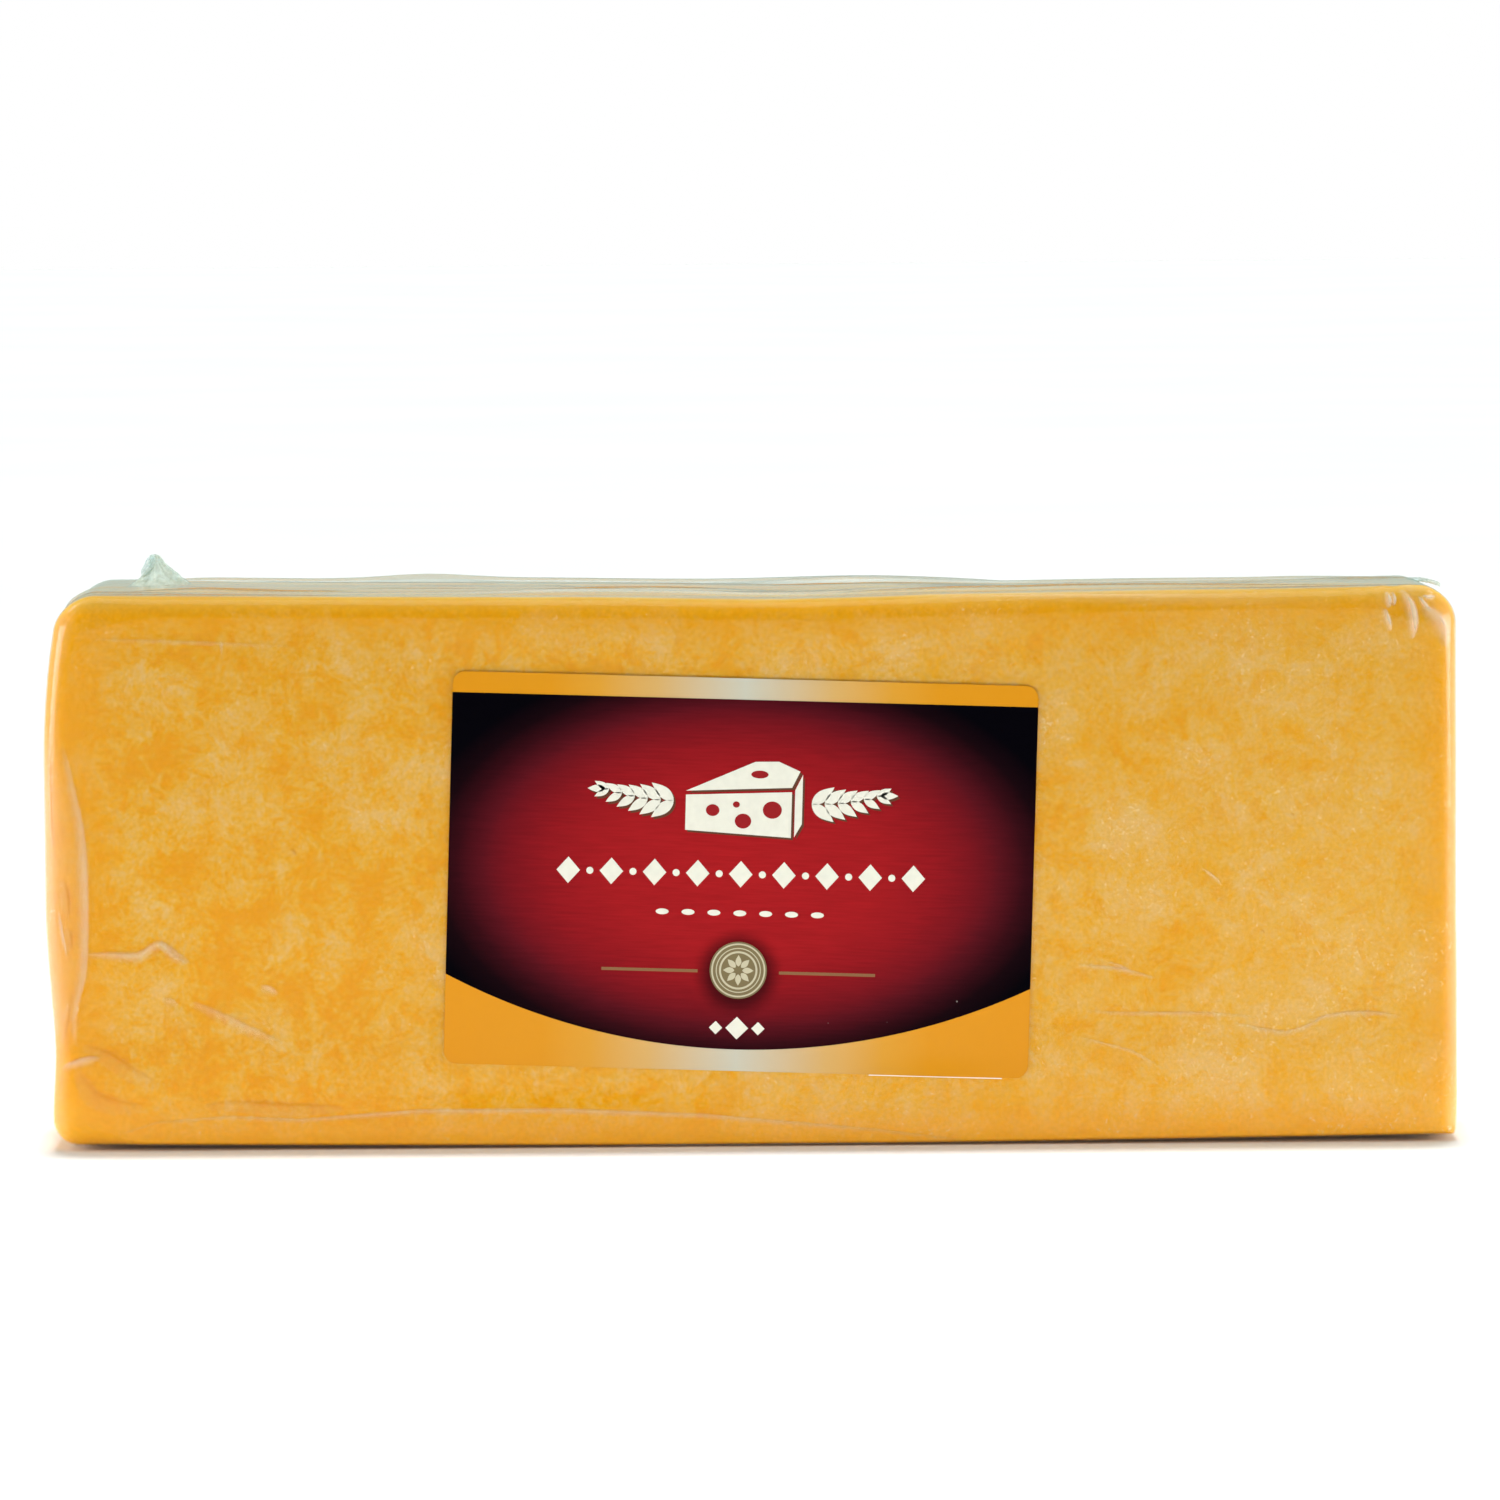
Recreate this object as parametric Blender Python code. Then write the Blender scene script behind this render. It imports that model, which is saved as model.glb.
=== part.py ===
"""Catering block of red cheddar, 5 kg, shrunk into a clear bag, with a paper label stuck on its front.

A 20 kg factory block is 360 x 280 x 180 mm, and this is the quarter that is cut from it: 360 x 90 x 140 mm.
Frame: +X along the block, +Y to its back, +Z up, origin on the table under the middle of the block. Metres.
"""

import math
import random

import bmesh
import bpy
from mathutils import Matrix, Vector, noise

# Driving dimensions
LENGTH = 0.360
DEPTH = 0.090
HEIGHT = 0.1405
HALF = (LENGTH / 2, DEPTH / 2, HEIGHT / 2)

# The cage is the plain box, and the outer ROLL of each of its sides becomes the rounded edge.
ROLL = 0.012
ROLL_STEPS = 3
RIGHT_ROLL_STEPS = 5
FINE_CELL = 0.0036
RIGHT_FINE_CELL = 0.0024
FINE_REACH = 0.032
LONG_CELL = 0.0115
TALL_CELL = 0.0062
DEEP_CELL = 0.0040

# Rounded edges: how far each one reaches in from the side that it belongs to. A pair is the stretch,
# from the end or up from the foot, over which one reach gives way to the next.
LEFT_REACH = 0.0055
LEFT_REACH_SWELL = 0.0050
LEFT_SWELL_HEIGHT = 0.062
LEFT_SWELL_SPREAD = 0.022
RIGHT_REACH = 0.0045
CORNER_REACH_LEFT = 0.0088
CORNER_REACH_RIGHT = 0.0100
CORNER_RUN = (0.010, 0.029)
FOOT_REACH_LEFT = 0.0065
FOOT_REACH_RIGHT = 0.0016
FOOT_RISE_LEFT = (0.010, 0.030)
FOOT_RISE_RIGHT = (0.001, 0.014)
TOP_REACH = 0.0050
FOOT_REACH = 0.0030
FACE_REACH = 0.0052

# The left end leans in towards its top, stands back at its foot, and is drawn in just above that
LEAN_RUN = (0.010, 0.050)
TOP_LEAN = 0.0044
TOP_LEAN_FROM = 0.096
FOOT_LEAN = 0.0011
FOOT_LEAN_FADE = (0.035, 0.060)
WAIST = 0.0009
WAIST_HEIGHT = 0.024
WAIST_SPREAD = 0.011

# The block sags a little between its ends, which curl up off the table. Its top dips in the middle,
# and right of that it slopes down to the back.
BOW = 0.0013
BOW_FROM = 0.035
BOW_CURVE = 1.3
DIP = 0.0010
DIP_PLACE = 0.010
DIP_SPREAD = 0.030
BACK_DROP = 0.0014
BACK_DROP_RUN = (0.030, 0.070)

# Unevenness of the pressed curd
SWELL = 0.00032
SWELL_CELL = 0.045
SWELL_FOOT = 0.010

# Pleats of slack film that run along the top, and humps as (place, place along Y, height, half length)
PLEATS = 8
PLEAT_ACROSS = (-0.030, 0.038)
PLEAT_WANDER = 0.002
PLEAT_MIDDLE = 0.110
PLEAT_HALF_RUN = (0.060, 0.150)
PLEAT_MARGIN = 0.012
PLEAT_FADE = 0.030
PLEAT_SLOPE = 0.02
PLEAT_HEIGHT = (0.0005, 0.0011)
PLEAT_WIDTH = 0.0030
PLEAT_SEED = 5
HUMP_WIDTH = 0.008
HUMPS = (
    (-0.084, 0.030, 0.0015, 0.015),
    (0.020, 0.030, 0.0011, 0.024),
    (0.160, 0.026, 0.0012, 0.018),
    (-0.168, 0.020, 0.0022, 0.006),
)

# Seals: each end of the tube of film is welded shut, and the weld lies flat against the end
SEAL_BACK = 0.008
SEAL_WIDTH = 0.012
SEAL_HEIGHT = 0.0010
SEAL_EDGE = (0.001, 0.002)
SEAL_FOOT = (0.006, 0.010)
SEAL_TOP = 0.004
STRIP_HEIGHT = 0.0015
STRIP_END = (-0.152, -0.146)
GATHERS = 9
GATHER_MARGIN = 0.014
GATHER_WANDER = 0.004
GATHER_TILT = 0.35
GATHER_HEIGHT = (0.0003, 0.0007)
GATHER_WIDTH = 0.0060
GATHER_RUN = 0.022
GATHER_SEED = 11

# Upright pleats that the right-hand ear pulls into the top corner of the front
PULL_PLACES = (0.1545, 0.1612, 0.1677, 0.1722)
PULL_HEIGHTS = (0.0004, 0.0007, 0.0010, 0.0006)
PULL_WIDTH = 0.0021
PULL_DROP = (0.0145, 0.0080)

# Crumpled tail that the left-hand seal leaves on the top
TENT_PLACE = (-0.1545, 0.012)
TENT_TOP = 0.1500
TENT_HEIGHT = 0.0110
TENT_LEFT = 0.0150
TENT_RIGHT = 0.0125
TENT_DEEP = 0.0075
TENT_FALL_LEFT = 2.9
TENT_FALL_RIGHT = 1.25
TENT_SIDES = 24
TENT_RINGS = 7
TENT_FOLDS = 5
TENT_FOLD_DEPTH = 0.13
TENT_TWIST = 1.5
TENT_TIP = 0.08
KNOT_SIZE = (0.0018, 0.0017, 0.0029)
KNOT_OFF = (-0.0019, 0.0004, -0.0032)
KNOT_LEAN = math.radians(22)
KNOT_FOLDS = 3
KNOT_FOLD_DEPTH = 0.2
KNOT_TWIST = 2.0

# Short ear that the right-hand seal leaves at the top corner
EAR_LENGTH = 0.0150
EAR_WIDTH = 0.013
EAR_THICK = 0.0010
EAR_DROP = 0.0019
EAR_CROWN = 0.0006
EAR_CUTS = 6
EAR_TIP_WIDTH = 0.45
EAR_ROOT_THICK = 1.6
EAR_TIP_THICK = 0.7
EAR_ROOT = (0.1648, 0.008, 0.1414)

# Paper label
LABEL_WIDTH = 0.1492
LABEL_HEIGHT = 0.1004
LABEL_THICK = 0.0003
LABEL_GAP = 0.0003
LABEL_CORNER = 0.0033
LABEL_CORNER_STEPS = 6
LABEL_PLACE = (-0.0026, 0.0697)
LABEL_TILT = math.radians(1.97)
LABEL_FLAT_MARGIN = (0.004, 0.012)


def clear_scene():
    for thing in list(bpy.data.objects):
        bpy.data.objects.remove(thing, do_unlink=True)


def new_collection(name):
    collection = bpy.data.collections.new(name)
    bpy.context.scene.collection.children.link(collection)
    return collection


def finish_of(name, colour, roughness, metallic=0.0):
    """A plain Principled material."""
    material = bpy.data.materials.new(name)
    material.use_nodes = True
    shader = material.node_tree.nodes["Principled BSDF"]
    shader.inputs["Base Color"].default_value = (*colour, 1.0)
    shader.inputs["Roughness"].default_value = roughness
    shader.inputs["Metallic"].default_value = metallic
    return material


def ease(low, high, value):
    """0 below low, 1 above high, and a smooth step between them."""
    t = min(max((value - low) / (high - low), 0.0), 1.0)
    return t * t * (3 - 2 * t)


def mix(a, b, share):
    return a + (b - a) * share


def bell(offset, spread):
    return math.exp(-((offset / spread) ** 2))


def bisected(mesh, axis, place):
    """Cuts the whole mesh at a place along one axis, and keeps both sides."""
    normal = Vector((axis == 0, axis == 1, axis == 2))
    everything = mesh.verts[:] + mesh.edges[:] + mesh.faces[:]
    bmesh.ops.bisect_plane(mesh, geom=everything, dist=1e-6, plane_co=normal * place, plane_no=normal)


# Cage and its rounded form


def even_cuts(low, high, cell):
    """Places that part the stretch from low to high into equal cells of about this size."""
    count = max(round((high - low) / cell), 1)
    return [low + (high - low) * k / count for k in range(count + 1)]


def cage_cuts():
    """Where the cage is cut along X, Y and Z: close together in the rolls and at the two ends."""
    flat = [half - ROLL for half in HALF]
    fine = flat[0] - FINE_REACH
    along = (
        even_cuts(-flat[0], -fine, FINE_CELL)
        + even_cuts(-fine, fine, LONG_CELL)[1:-1]
        + even_cuts(fine, flat[0], RIGHT_FINE_CELL)
    )
    deep = even_cuts(-flat[1], flat[1], DEEP_CELL)
    tall = even_cuts(-flat[2], flat[2], TALL_CELL)
    far_steps = (RIGHT_ROLL_STEPS, ROLL_STEPS, ROLL_STEPS)
    cuts = []
    for half, inner, steps in zip(HALF, (along, deep, tall), far_steps):
        near = [-half + ROLL * k / ROLL_STEPS for k in range(1, ROLL_STEPS)]
        far = [half - ROLL * k / steps for k in range(1, steps)]
        cuts.append(near + inner + far)
    return cuts


def reach_along(side, z):
    """How far the roll at the left (-1) or right (1) end reaches in along X, at a height in the cage."""
    height = z + HALF[2]
    if side < 0:
        swell = LEFT_REACH_SWELL * bell(height - LEFT_SWELL_HEIGHT, LEFT_SWELL_SPREAD)
        body = mix(FOOT_REACH_LEFT, LEFT_REACH, ease(*FOOT_RISE_LEFT, height)) + swell
        corner = CORNER_REACH_LEFT
    else:
        body = mix(FOOT_REACH_RIGHT, RIGHT_REACH, ease(*FOOT_RISE_RIGHT, height))
        corner = CORNER_REACH_RIGHT
    return mix(body, corner, ease(HEIGHT - 2 * ROLL, HEIGHT, height))


def reach_up(side, x):
    """How far the roll at the foot (-1) or the top (1) reaches in along Z."""
    left = 1 - ease(*CORNER_RUN, HALF[0] + x)
    right = 1 - ease(*CORNER_RUN, HALF[0] - x)
    if side > 0:
        return mix(mix(TOP_REACH, CORNER_REACH_LEFT, left), CORNER_REACH_RIGHT, right)
    return mix(mix(FOOT_REACH, FOOT_REACH_LEFT, left), FOOT_REACH_RIGHT, right)


def rounded(point):
    """The place on the rounded block, and its outward direction, for a point on the cage."""
    sides = [1 if value > 0 else -1 for value in point]
    reaches = (reach_along(sides[0], point[2]), FACE_REACH, reach_up(sides[2], point[0]))
    inner = []
    towards = []
    for value, side, half, reach in zip(point, sides, HALF, reaches):
        flat = half - ROLL
        inner.append(min(abs(value) / flat, 1.0) * side * (half - reach))
        turn = min(max((abs(value) - flat) / ROLL, 0.0), 1.0)
        towards.append(side * math.tan(turn * math.pi / 4))
    towards = Vector(towards).normalized()
    place = Vector([i + r * t for i, r, t in zip(inner, reaches, towards)])
    outward = Vector([t / r for r, t in zip(reaches, towards)]).normalized()
    return place + Vector((0, 0, HALF[2])), outward


# Relief of the film


def make_pleats():
    """Each pleat of the top as (place along Y, slope, start, end, height)."""
    draw = random.Random(PLEAT_SEED)
    pleats = []
    for k in range(PLEATS):
        across = mix(*PLEAT_ACROSS, (k + 0.5) / PLEATS) + draw.uniform(-PLEAT_WANDER, PLEAT_WANDER)
        middle = draw.uniform(-PLEAT_MIDDLE, PLEAT_MIDDLE)
        half_run = draw.uniform(*PLEAT_HALF_RUN)
        start = max(middle - half_run, -HALF[0] + PLEAT_MARGIN)
        end = min(middle + half_run, HALF[0] - PLEAT_MARGIN)
        slope = draw.uniform(-PLEAT_SLOPE, PLEAT_SLOPE)
        pleats.append((across, slope, start, end, draw.uniform(*PLEAT_HEIGHT)))
    return pleats


def pleat_relief(x, y, pleats):
    height = 0.0
    for across, slope, start, end, tall in pleats:
        run = ease(start, start + PLEAT_FADE, x) * (1 - ease(end - PLEAT_FADE, end, x))
        height += tall * run * bell(y - across - slope * x, PLEAT_WIDTH)
    for place, across, tall, spread in HUMPS:
        height += tall * bell(x - place, spread) * bell(y - across, HUMP_WIDTH)
    return height


def make_gathers():
    """Each gather of an end as (height above the table, tilt, height of its ridge)."""
    draw = random.Random(GATHER_SEED)
    gathers = []
    for k in range(GATHERS):
        z = mix(GATHER_MARGIN, HEIGHT - GATHER_MARGIN, (k + 0.5) / GATHERS)
        z += draw.uniform(-GATHER_WANDER, GATHER_WANDER)
        gathers.append((z, draw.uniform(-GATHER_TILT, GATHER_TILT), draw.uniform(*GATHER_HEIGHT)))
    return gathers


def seal_band(y):
    """1 across the weld band, and 0 beside it."""
    inner, outer = SEAL_EDGE
    return 1 - ease(SEAL_WIDTH / 2 - inner, SEAL_WIDTH / 2 + outer, abs(y - SEAL_BACK))


def end_relief(y, z, gathers):
    """Weld band and the gathers that fan out from it, on either end."""
    inside = ease(*SEAL_FOOT, z) * (1 - ease(HEIGHT - SEAL_TOP, HEIGHT, z))
    height = SEAL_HEIGHT * inside * seal_band(y)
    fan = bell(y - SEAL_BACK, GATHER_RUN)
    for middle, tilt, tall in gathers:
        height += tall * fan * bell(z - middle - tilt * (y - SEAL_BACK), GATHER_WIDTH)
    return height


def strip_relief(x, y):
    """Tail of the left-hand weld, which is folded over the corner and lies along the top."""
    return STRIP_HEIGHT * seal_band(y) * (1 - ease(*STRIP_END, x))


def pull_relief(x, z):
    drop = ease(HEIGHT - PULL_DROP[0], HEIGHT - PULL_DROP[1], z)
    ridges = zip(PULL_PLACES, PULL_HEIGHTS)
    return drop * sum(tall * bell(x - place, PULL_WIDTH) for place, tall in ridges)


def swell_relief(place, outward):
    """Slow unevenness of the sides. The label keeps the film under it flat, and the foot is flat too."""
    off_label = max(
        abs(place.x - LABEL_PLACE[0]) - LABEL_WIDTH / 2,
        abs(place.z - LABEL_PLACE[1]) - LABEL_HEIGHT / 2,
    )
    free = ease(*LABEL_FLAT_MARGIN, off_label) if outward.y < 0 else 1.0
    above_foot = (1 - max(-outward.z, 0.0)) * ease(0, SWELL_FOOT, place.z)
    return SWELL * free * above_foot * (1 + noise.noise(place / SWELL_CELL))


def settled(place):
    """Moves a place by the lean of the left end, the bow of the block and the slope of its top."""
    x, y, z = place
    lean = TOP_LEAN * max((z - TOP_LEAN_FROM) / (HEIGHT - TOP_LEAN_FROM), 0) ** 2
    lean += FOOT_LEAN * (1 - ease(*FOOT_LEAN_FADE, z)) + WAIST * bell(z - WAIST_HEIGHT, WAIST_SPREAD)
    lean *= 1 - ease(*LEAN_RUN, HALF[0] + x)
    bow = BOW * (max(abs(x) - BOW_FROM, 0) / (HALF[0] - BOW_FROM)) ** BOW_CURVE
    dip = DIP * bell(x - DIP_PLACE, DIP_SPREAD)
    drop = BACK_DROP * ease(*BACK_DROP_RUN, x) * ease(-HALF[1], HALF[1], y)
    return Vector((x + lean, y, z + bow - (dip + drop) * z / HEIGHT))


def film_surface(point, pleats, gathers):
    """The place of the film for a point on the cage."""
    place, outward = rounded(point)
    up = max(outward.z, 0.0)
    end = ease(0.3, 0.9, abs(outward.x))
    height = up * (pleat_relief(place.x, place.y, pleats) + strip_relief(place.x, place.y))
    height += end * end_relief(place.y, place.z, gathers)
    height += ease(0.0, 0.5, -outward.y) * pull_relief(place.x, place.z)
    height += swell_relief(place, outward)
    return settled(place + outward * height)


def shrunk_block(name, collection):
    """The block in its film, as one closed mesh."""
    mesh = bmesh.new()
    bmesh.ops.create_cube(mesh, size=2.0, matrix=Matrix.Diagonal((*HALF, 1.0)))
    for axis, places in enumerate(cage_cuts()):
        for place in places:
            bisected(mesh, axis, place)
    pleats = make_pleats()
    gathers = make_gathers()
    for vertex in mesh.verts:
        vertex.co = film_surface(vertex.co, pleats, gathers)
    return as_object(mesh, name, collection)


def as_object(mesh, name, collection):
    bmesh.ops.recalc_face_normals(mesh, faces=mesh.faces[:])
    data = bpy.data.meshes.new(name)
    mesh.to_mesh(data)
    mesh.free()
    made = bpy.data.objects.new(name, data)
    collection.objects.link(made)
    return made


# Loose ends of the bag


def tail_tent(collection):
    """Crumpled tail: a cone with a hollow left flank and a few folds, flattened between front and back."""
    mesh = bmesh.new()
    bmesh.ops.create_cone(
        mesh, cap_ends=True, segments=TENT_SIDES, radius1=1.0, radius2=1.0, depth=1.0
    )
    for k in range(1, TENT_RINGS):
        bisected(mesh, 2, k / TENT_RINGS - 0.5)
    for vertex in mesh.verts:
        up = vertex.co.z + 0.5
        angle = math.atan2(vertex.co.y, vertex.co.x)
        left = (1 - math.cos(angle)) / 2
        fold = 1 + TENT_FOLD_DEPTH * math.cos(TENT_FOLDS * angle + TENT_TWIST * up)
        fall = mix(TENT_FALL_RIGHT, TENT_FALL_LEFT, left)
        width = mix(TENT_TIP, 1.0, (1 - up) ** fall) * fold
        vertex.co = (
            width * mix(TENT_RIGHT, TENT_LEFT, left) * math.cos(angle),
            width * TENT_DEEP * math.sin(angle),
            (up - 1) * TENT_HEIGHT,
        )
    tent = as_object(mesh, "tail_tent", collection)
    tent.location = (*TENT_PLACE, TENT_TOP)
    return tent


def tail_knot(collection):
    """Curled end of the tail, which leans on the left of its tip."""
    mesh = bmesh.new()
    bmesh.ops.create_uvsphere(mesh, u_segments=15, v_segments=8, radius=1.0)
    for vertex in mesh.verts:
        angle = math.atan2(vertex.co.y, vertex.co.x)
        fold = 1 + KNOT_FOLD_DEPTH * math.cos(KNOT_FOLDS * angle + KNOT_TWIST * vertex.co.z)
        vertex.co.x *= fold
        vertex.co.y *= fold
    bmesh.ops.scale(mesh, vec=KNOT_SIZE, verts=mesh.verts)
    knot = as_object(mesh, "tail_knot", collection)
    knot.location = Vector((*TENT_PLACE, TENT_TOP)) + Vector(KNOT_OFF)
    knot.rotation_euler = (0, KNOT_LEAN, 0)
    return knot


def corner_ear(collection):
    """Flap of welded film that stands out of the top corner and droops."""
    mesh = bmesh.new()
    size = Matrix.Diagonal((EAR_LENGTH, EAR_WIDTH, EAR_THICK, 1.0))
    bmesh.ops.create_cube(mesh, size=1.0, matrix=size)
    for k in range(1, EAR_CUTS):
        bisected(mesh, 0, EAR_LENGTH * (k / EAR_CUTS - 0.5))
    for vertex in mesh.verts:
        out = vertex.co.x / EAR_LENGTH + 0.5
        vertex.co.y *= mix(1.0, EAR_TIP_WIDTH, out * out)
        vertex.co.z *= mix(EAR_ROOT_THICK, EAR_TIP_THICK, out)
        vertex.co.z += EAR_CROWN * math.sin(out * math.pi) - EAR_DROP * out * out
    ear = as_object(mesh, "corner_ear", collection)
    ear.location = (EAR_ROOT[0] + EAR_LENGTH / 2, EAR_ROOT[1], EAR_ROOT[2])
    return ear


def join_loose_ends(block, loose):
    """Joins the loose ends to the block with one union, and removes their own objects."""
    union = block.modifiers.new("loose_ends", "BOOLEAN")
    union.operation = "UNION"
    union.operand_type = "COLLECTION"
    union.collection = loose
    union.solver = "EXACT"
    bpy.context.view_layer.update()
    graph = bpy.context.evaluated_depsgraph_get()
    joined = bpy.data.meshes.new_from_object(block.evaluated_get(graph))
    block.modifiers.clear()
    block.data = joined
    for piece in list(loose.objects):
        bpy.data.objects.remove(piece, do_unlink=True)
    bpy.data.collections.remove(loose)


def sealed_bag(collection, material):
    block = shrunk_block("sealed_bag", collection)
    loose = new_collection("loose_ends")
    tail_tent(loose)
    tail_knot(loose)
    corner_ear(loose)
    join_loose_ends(block, loose)
    block.data.materials.clear()
    block.data.materials.append(material)
    block.data.shade_smooth()
    block.data.set_sharp_from_angle(angle=math.radians(40))
    return block


# Label


def label_outline():
    """Corner points of the label's rounded rectangle, anticlockwise."""
    across = LABEL_WIDTH / 2 - LABEL_CORNER
    up = LABEL_HEIGHT / 2 - LABEL_CORNER
    points = []
    for quarter, (side_x, side_y) in enumerate(((1, 1), (-1, 1), (-1, -1), (1, -1))):
        for k in range(LABEL_CORNER_STEPS + 1):
            angle = (quarter + k / LABEL_CORNER_STEPS) * math.pi / 2
            points.append(
                (
                    side_x * across + LABEL_CORNER * math.cos(angle),
                    side_y * up + LABEL_CORNER * math.sin(angle),
                )
            )
    return points


def label(collection, material):
    """Flat paper label, a little askew, as it was stuck on by hand."""
    curve = bpy.data.curves.new("label", "CURVE")
    curve.dimensions = "2D"
    curve.fill_mode = "BOTH"
    curve.extrude = LABEL_THICK / 2
    outline = label_outline()
    spline = curve.splines.new("POLY")
    spline.points.add(len(outline) - 1)
    for point, (x, y) in zip(spline.points, outline):
        point.co = (x, y, 0.0, 1.0)
    spline.use_cyclic_u = True
    curve.materials.append(material)
    made = bpy.data.objects.new("label", curve)
    made.rotation_euler = (math.pi / 2, LABEL_TILT, 0)
    front = -HALF[1] - LABEL_GAP - LABEL_THICK / 2
    made.location = (LABEL_PLACE[0], front, LABEL_PLACE[1])
    collection.objects.link(made)
    return made


def main():
    clear_scene()
    parts = new_collection("cheddar_block")
    sealed_bag(parts, finish_of("red_cheddar_in_film", (0.78, 0.38, 0.05), 0.25))
    label(parts, finish_of("label_paper", (0.34, 0.012, 0.016), 0.35))


main()
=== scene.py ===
"""Catering block of red cheddar in clear shrink film, with a printed paper label stuck on its front.

Frame: +X along the block, +Y to its back, +Z up, origin on the table under the middle of the block. Metres.
"""

import math
import random
from functools import partial

import bmesh
import bpy
import numpy as np
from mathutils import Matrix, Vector, bvhtree, noise


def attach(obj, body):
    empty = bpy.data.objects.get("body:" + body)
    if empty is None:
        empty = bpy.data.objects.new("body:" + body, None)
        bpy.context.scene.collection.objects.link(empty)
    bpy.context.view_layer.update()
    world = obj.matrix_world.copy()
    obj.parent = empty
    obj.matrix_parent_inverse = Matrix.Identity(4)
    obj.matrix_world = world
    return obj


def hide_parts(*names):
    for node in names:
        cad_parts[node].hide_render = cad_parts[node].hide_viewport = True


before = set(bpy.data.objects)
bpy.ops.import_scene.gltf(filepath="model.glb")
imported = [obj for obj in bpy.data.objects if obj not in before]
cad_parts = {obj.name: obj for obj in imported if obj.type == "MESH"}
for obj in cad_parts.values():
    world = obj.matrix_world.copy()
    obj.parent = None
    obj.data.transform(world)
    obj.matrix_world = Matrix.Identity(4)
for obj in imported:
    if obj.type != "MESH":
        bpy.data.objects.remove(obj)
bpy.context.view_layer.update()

MM = 0.001

# Driving dimensions, as in the solids
LENGTH = 0.360
DEPTH = 0.090
HEIGHT = 0.1405
HALF = (LENGTH / 2, DEPTH / 2, HEIGHT / 2)

# The cage is the plain box, and the outer ROLL of each of its sides becomes the rounded edge
ROLL = 0.012
ROLL_CELL = 0.0010

# Film cage: the size of its cells in the stretches that end at these places. Small where the film folds.
FILM_ALONG = ((-0.140, 0.0011), (0.140, 0.0022), (0.180, 0.0009))
FILM_DEEP = ((0.045, 0.0015),)
FILM_TALL = ((-0.046, 0.0013), (-0.012, 0.0009), (0.050, 0.0018), (0.07025, 0.0009))
CHEESE_CELL = 0.0024

# How squarely a point of the film faces along X before the ends' relief counts, and along -Y for the front's
END_FACING = (0.3, 0.9)
FRONT_FACING = (0.0, 0.5)

# Rounded edges: how far each one reaches in from the side that it belongs to. A pair is the stretch,
# from the end or up from the foot, over which one reach gives way to the next.
LEFT_REACH = 0.0055
LEFT_REACH_SWELL = 0.0050
LEFT_SWELL_HEIGHT = 0.062
LEFT_SWELL_SPREAD = 0.022
RIGHT_REACH = 0.0045
CORNER_REACH_LEFT = 0.0088
CORNER_REACH_RIGHT = 0.0100
CORNER_RUN = (0.010, 0.029)
FOOT_REACH_LEFT = 0.0065
FOOT_REACH_RIGHT = 0.0016
FOOT_RISE_LEFT = (0.010, 0.030)
FOOT_RISE_RIGHT = (0.001, 0.014)
TOP_REACH = 0.0050
FOOT_REACH = 0.0014
FACE_REACH = 0.0052

# The left end leans in towards its top, stands back at its foot, and is drawn in just above that
LEAN_RUN = (0.010, 0.050)
TOP_LEAN = 0.0044
TOP_LEAN_FROM = 0.096
FOOT_LEAN = 0.0011
FOOT_LEAN_FADE = (0.035, 0.060)
WAIST = 0.0009
WAIST_HEIGHT = 0.024
WAIST_SPREAD = 0.011

# The block sags between its ends. Its top dips in the middle, and slopes down to the back on the right.
BOW = 0.0013
BOW_FROM = 0.035
BOW_CURVE = 1.3
DIP = 0.0010
DIP_PLACE = 0.010
DIP_SPREAD = 0.030
BACK_DROP = 0.0014
BACK_DROP_RUN = (0.030, 0.070)

# Unevenness of the pressed curd
SWELL = 0.00032
SWELL_CELL = 0.045
SWELL_FOOT = 0.010
CURD_BUMP = 0.00012
CURD_CELL = 0.006
FILM_CLEAR = 0.00035

# How far in the deeper colour of the cheese's edges spreads: at the left end, and from the second place on
EDGE_SPREAD = (0.0150, 0.0075)
EDGE_SPREAD_RUN = (0.012, 0.030)

# Pleats of slack film that run along the top, as (count, span along Y, half length, fade at the ends, slope,
# height, width, seed): those of the solids, and finer ones between them
PLEAT_SETS = (
    (8, (-0.030, 0.038), (0.060, 0.150), 0.030, 0.02, (0.0005, 0.0011), 0.0030, 5),
    (26, (-0.041, 0.043), (0.015, 0.070), 0.012, 0.07, (0.00012, 0.00038), 0.0016, 23),
)
PLEAT_WANDER = 0.002
PLEAT_MIDDLE = 0.110
PLEAT_MARGIN = 0.012

# How loose the film lies on the front and the back of the top, and on the rolls beside the front, where
# the milk that it adds is a painted highlight
TOP_LOOSE = (0.05, 0.32)
ROLL_PAINTED_HIGHLIGHT = 0.30

# Humps of the film as (place along X, place along Y, height, half length)
HUMP_WIDTH = 0.008
HUMPS = (
    (-0.084, 0.030, 0.0015, 0.015),
    (0.020, 0.030, 0.0011, 0.024),
    (0.160, 0.026, 0.0004, 0.018),
    (-0.168, 0.020, 0.0003, 0.006),
)

# Seals: each end of the tube of film is welded shut, and the weld lies flat against the end
SEAL_BACK = 0.008
SEAL_WIDTH = 0.012
SEAL_HEIGHT = 0.0010
SEAL_EDGE = (0.001, 0.002)
SEAL_FOOT = (0.006, 0.010)
SEAL_TOP = 0.004
STRIP_HEIGHT = 0.0003
STRIP_END = (-0.152, -0.146)

# Gathers that fan out from the welds, as (count, tilt, height, width, run, seed)
GATHER_SETS = (
    (9, 0.35, (0.0003, 0.0007), 0.0060, 0.022, 11),
    (26, 0.6, (0.00015, 0.00040), 0.0022, 0.016, 31),
)
GATHER_MARGIN = 0.014
GATHER_WANDER = 0.004

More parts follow.
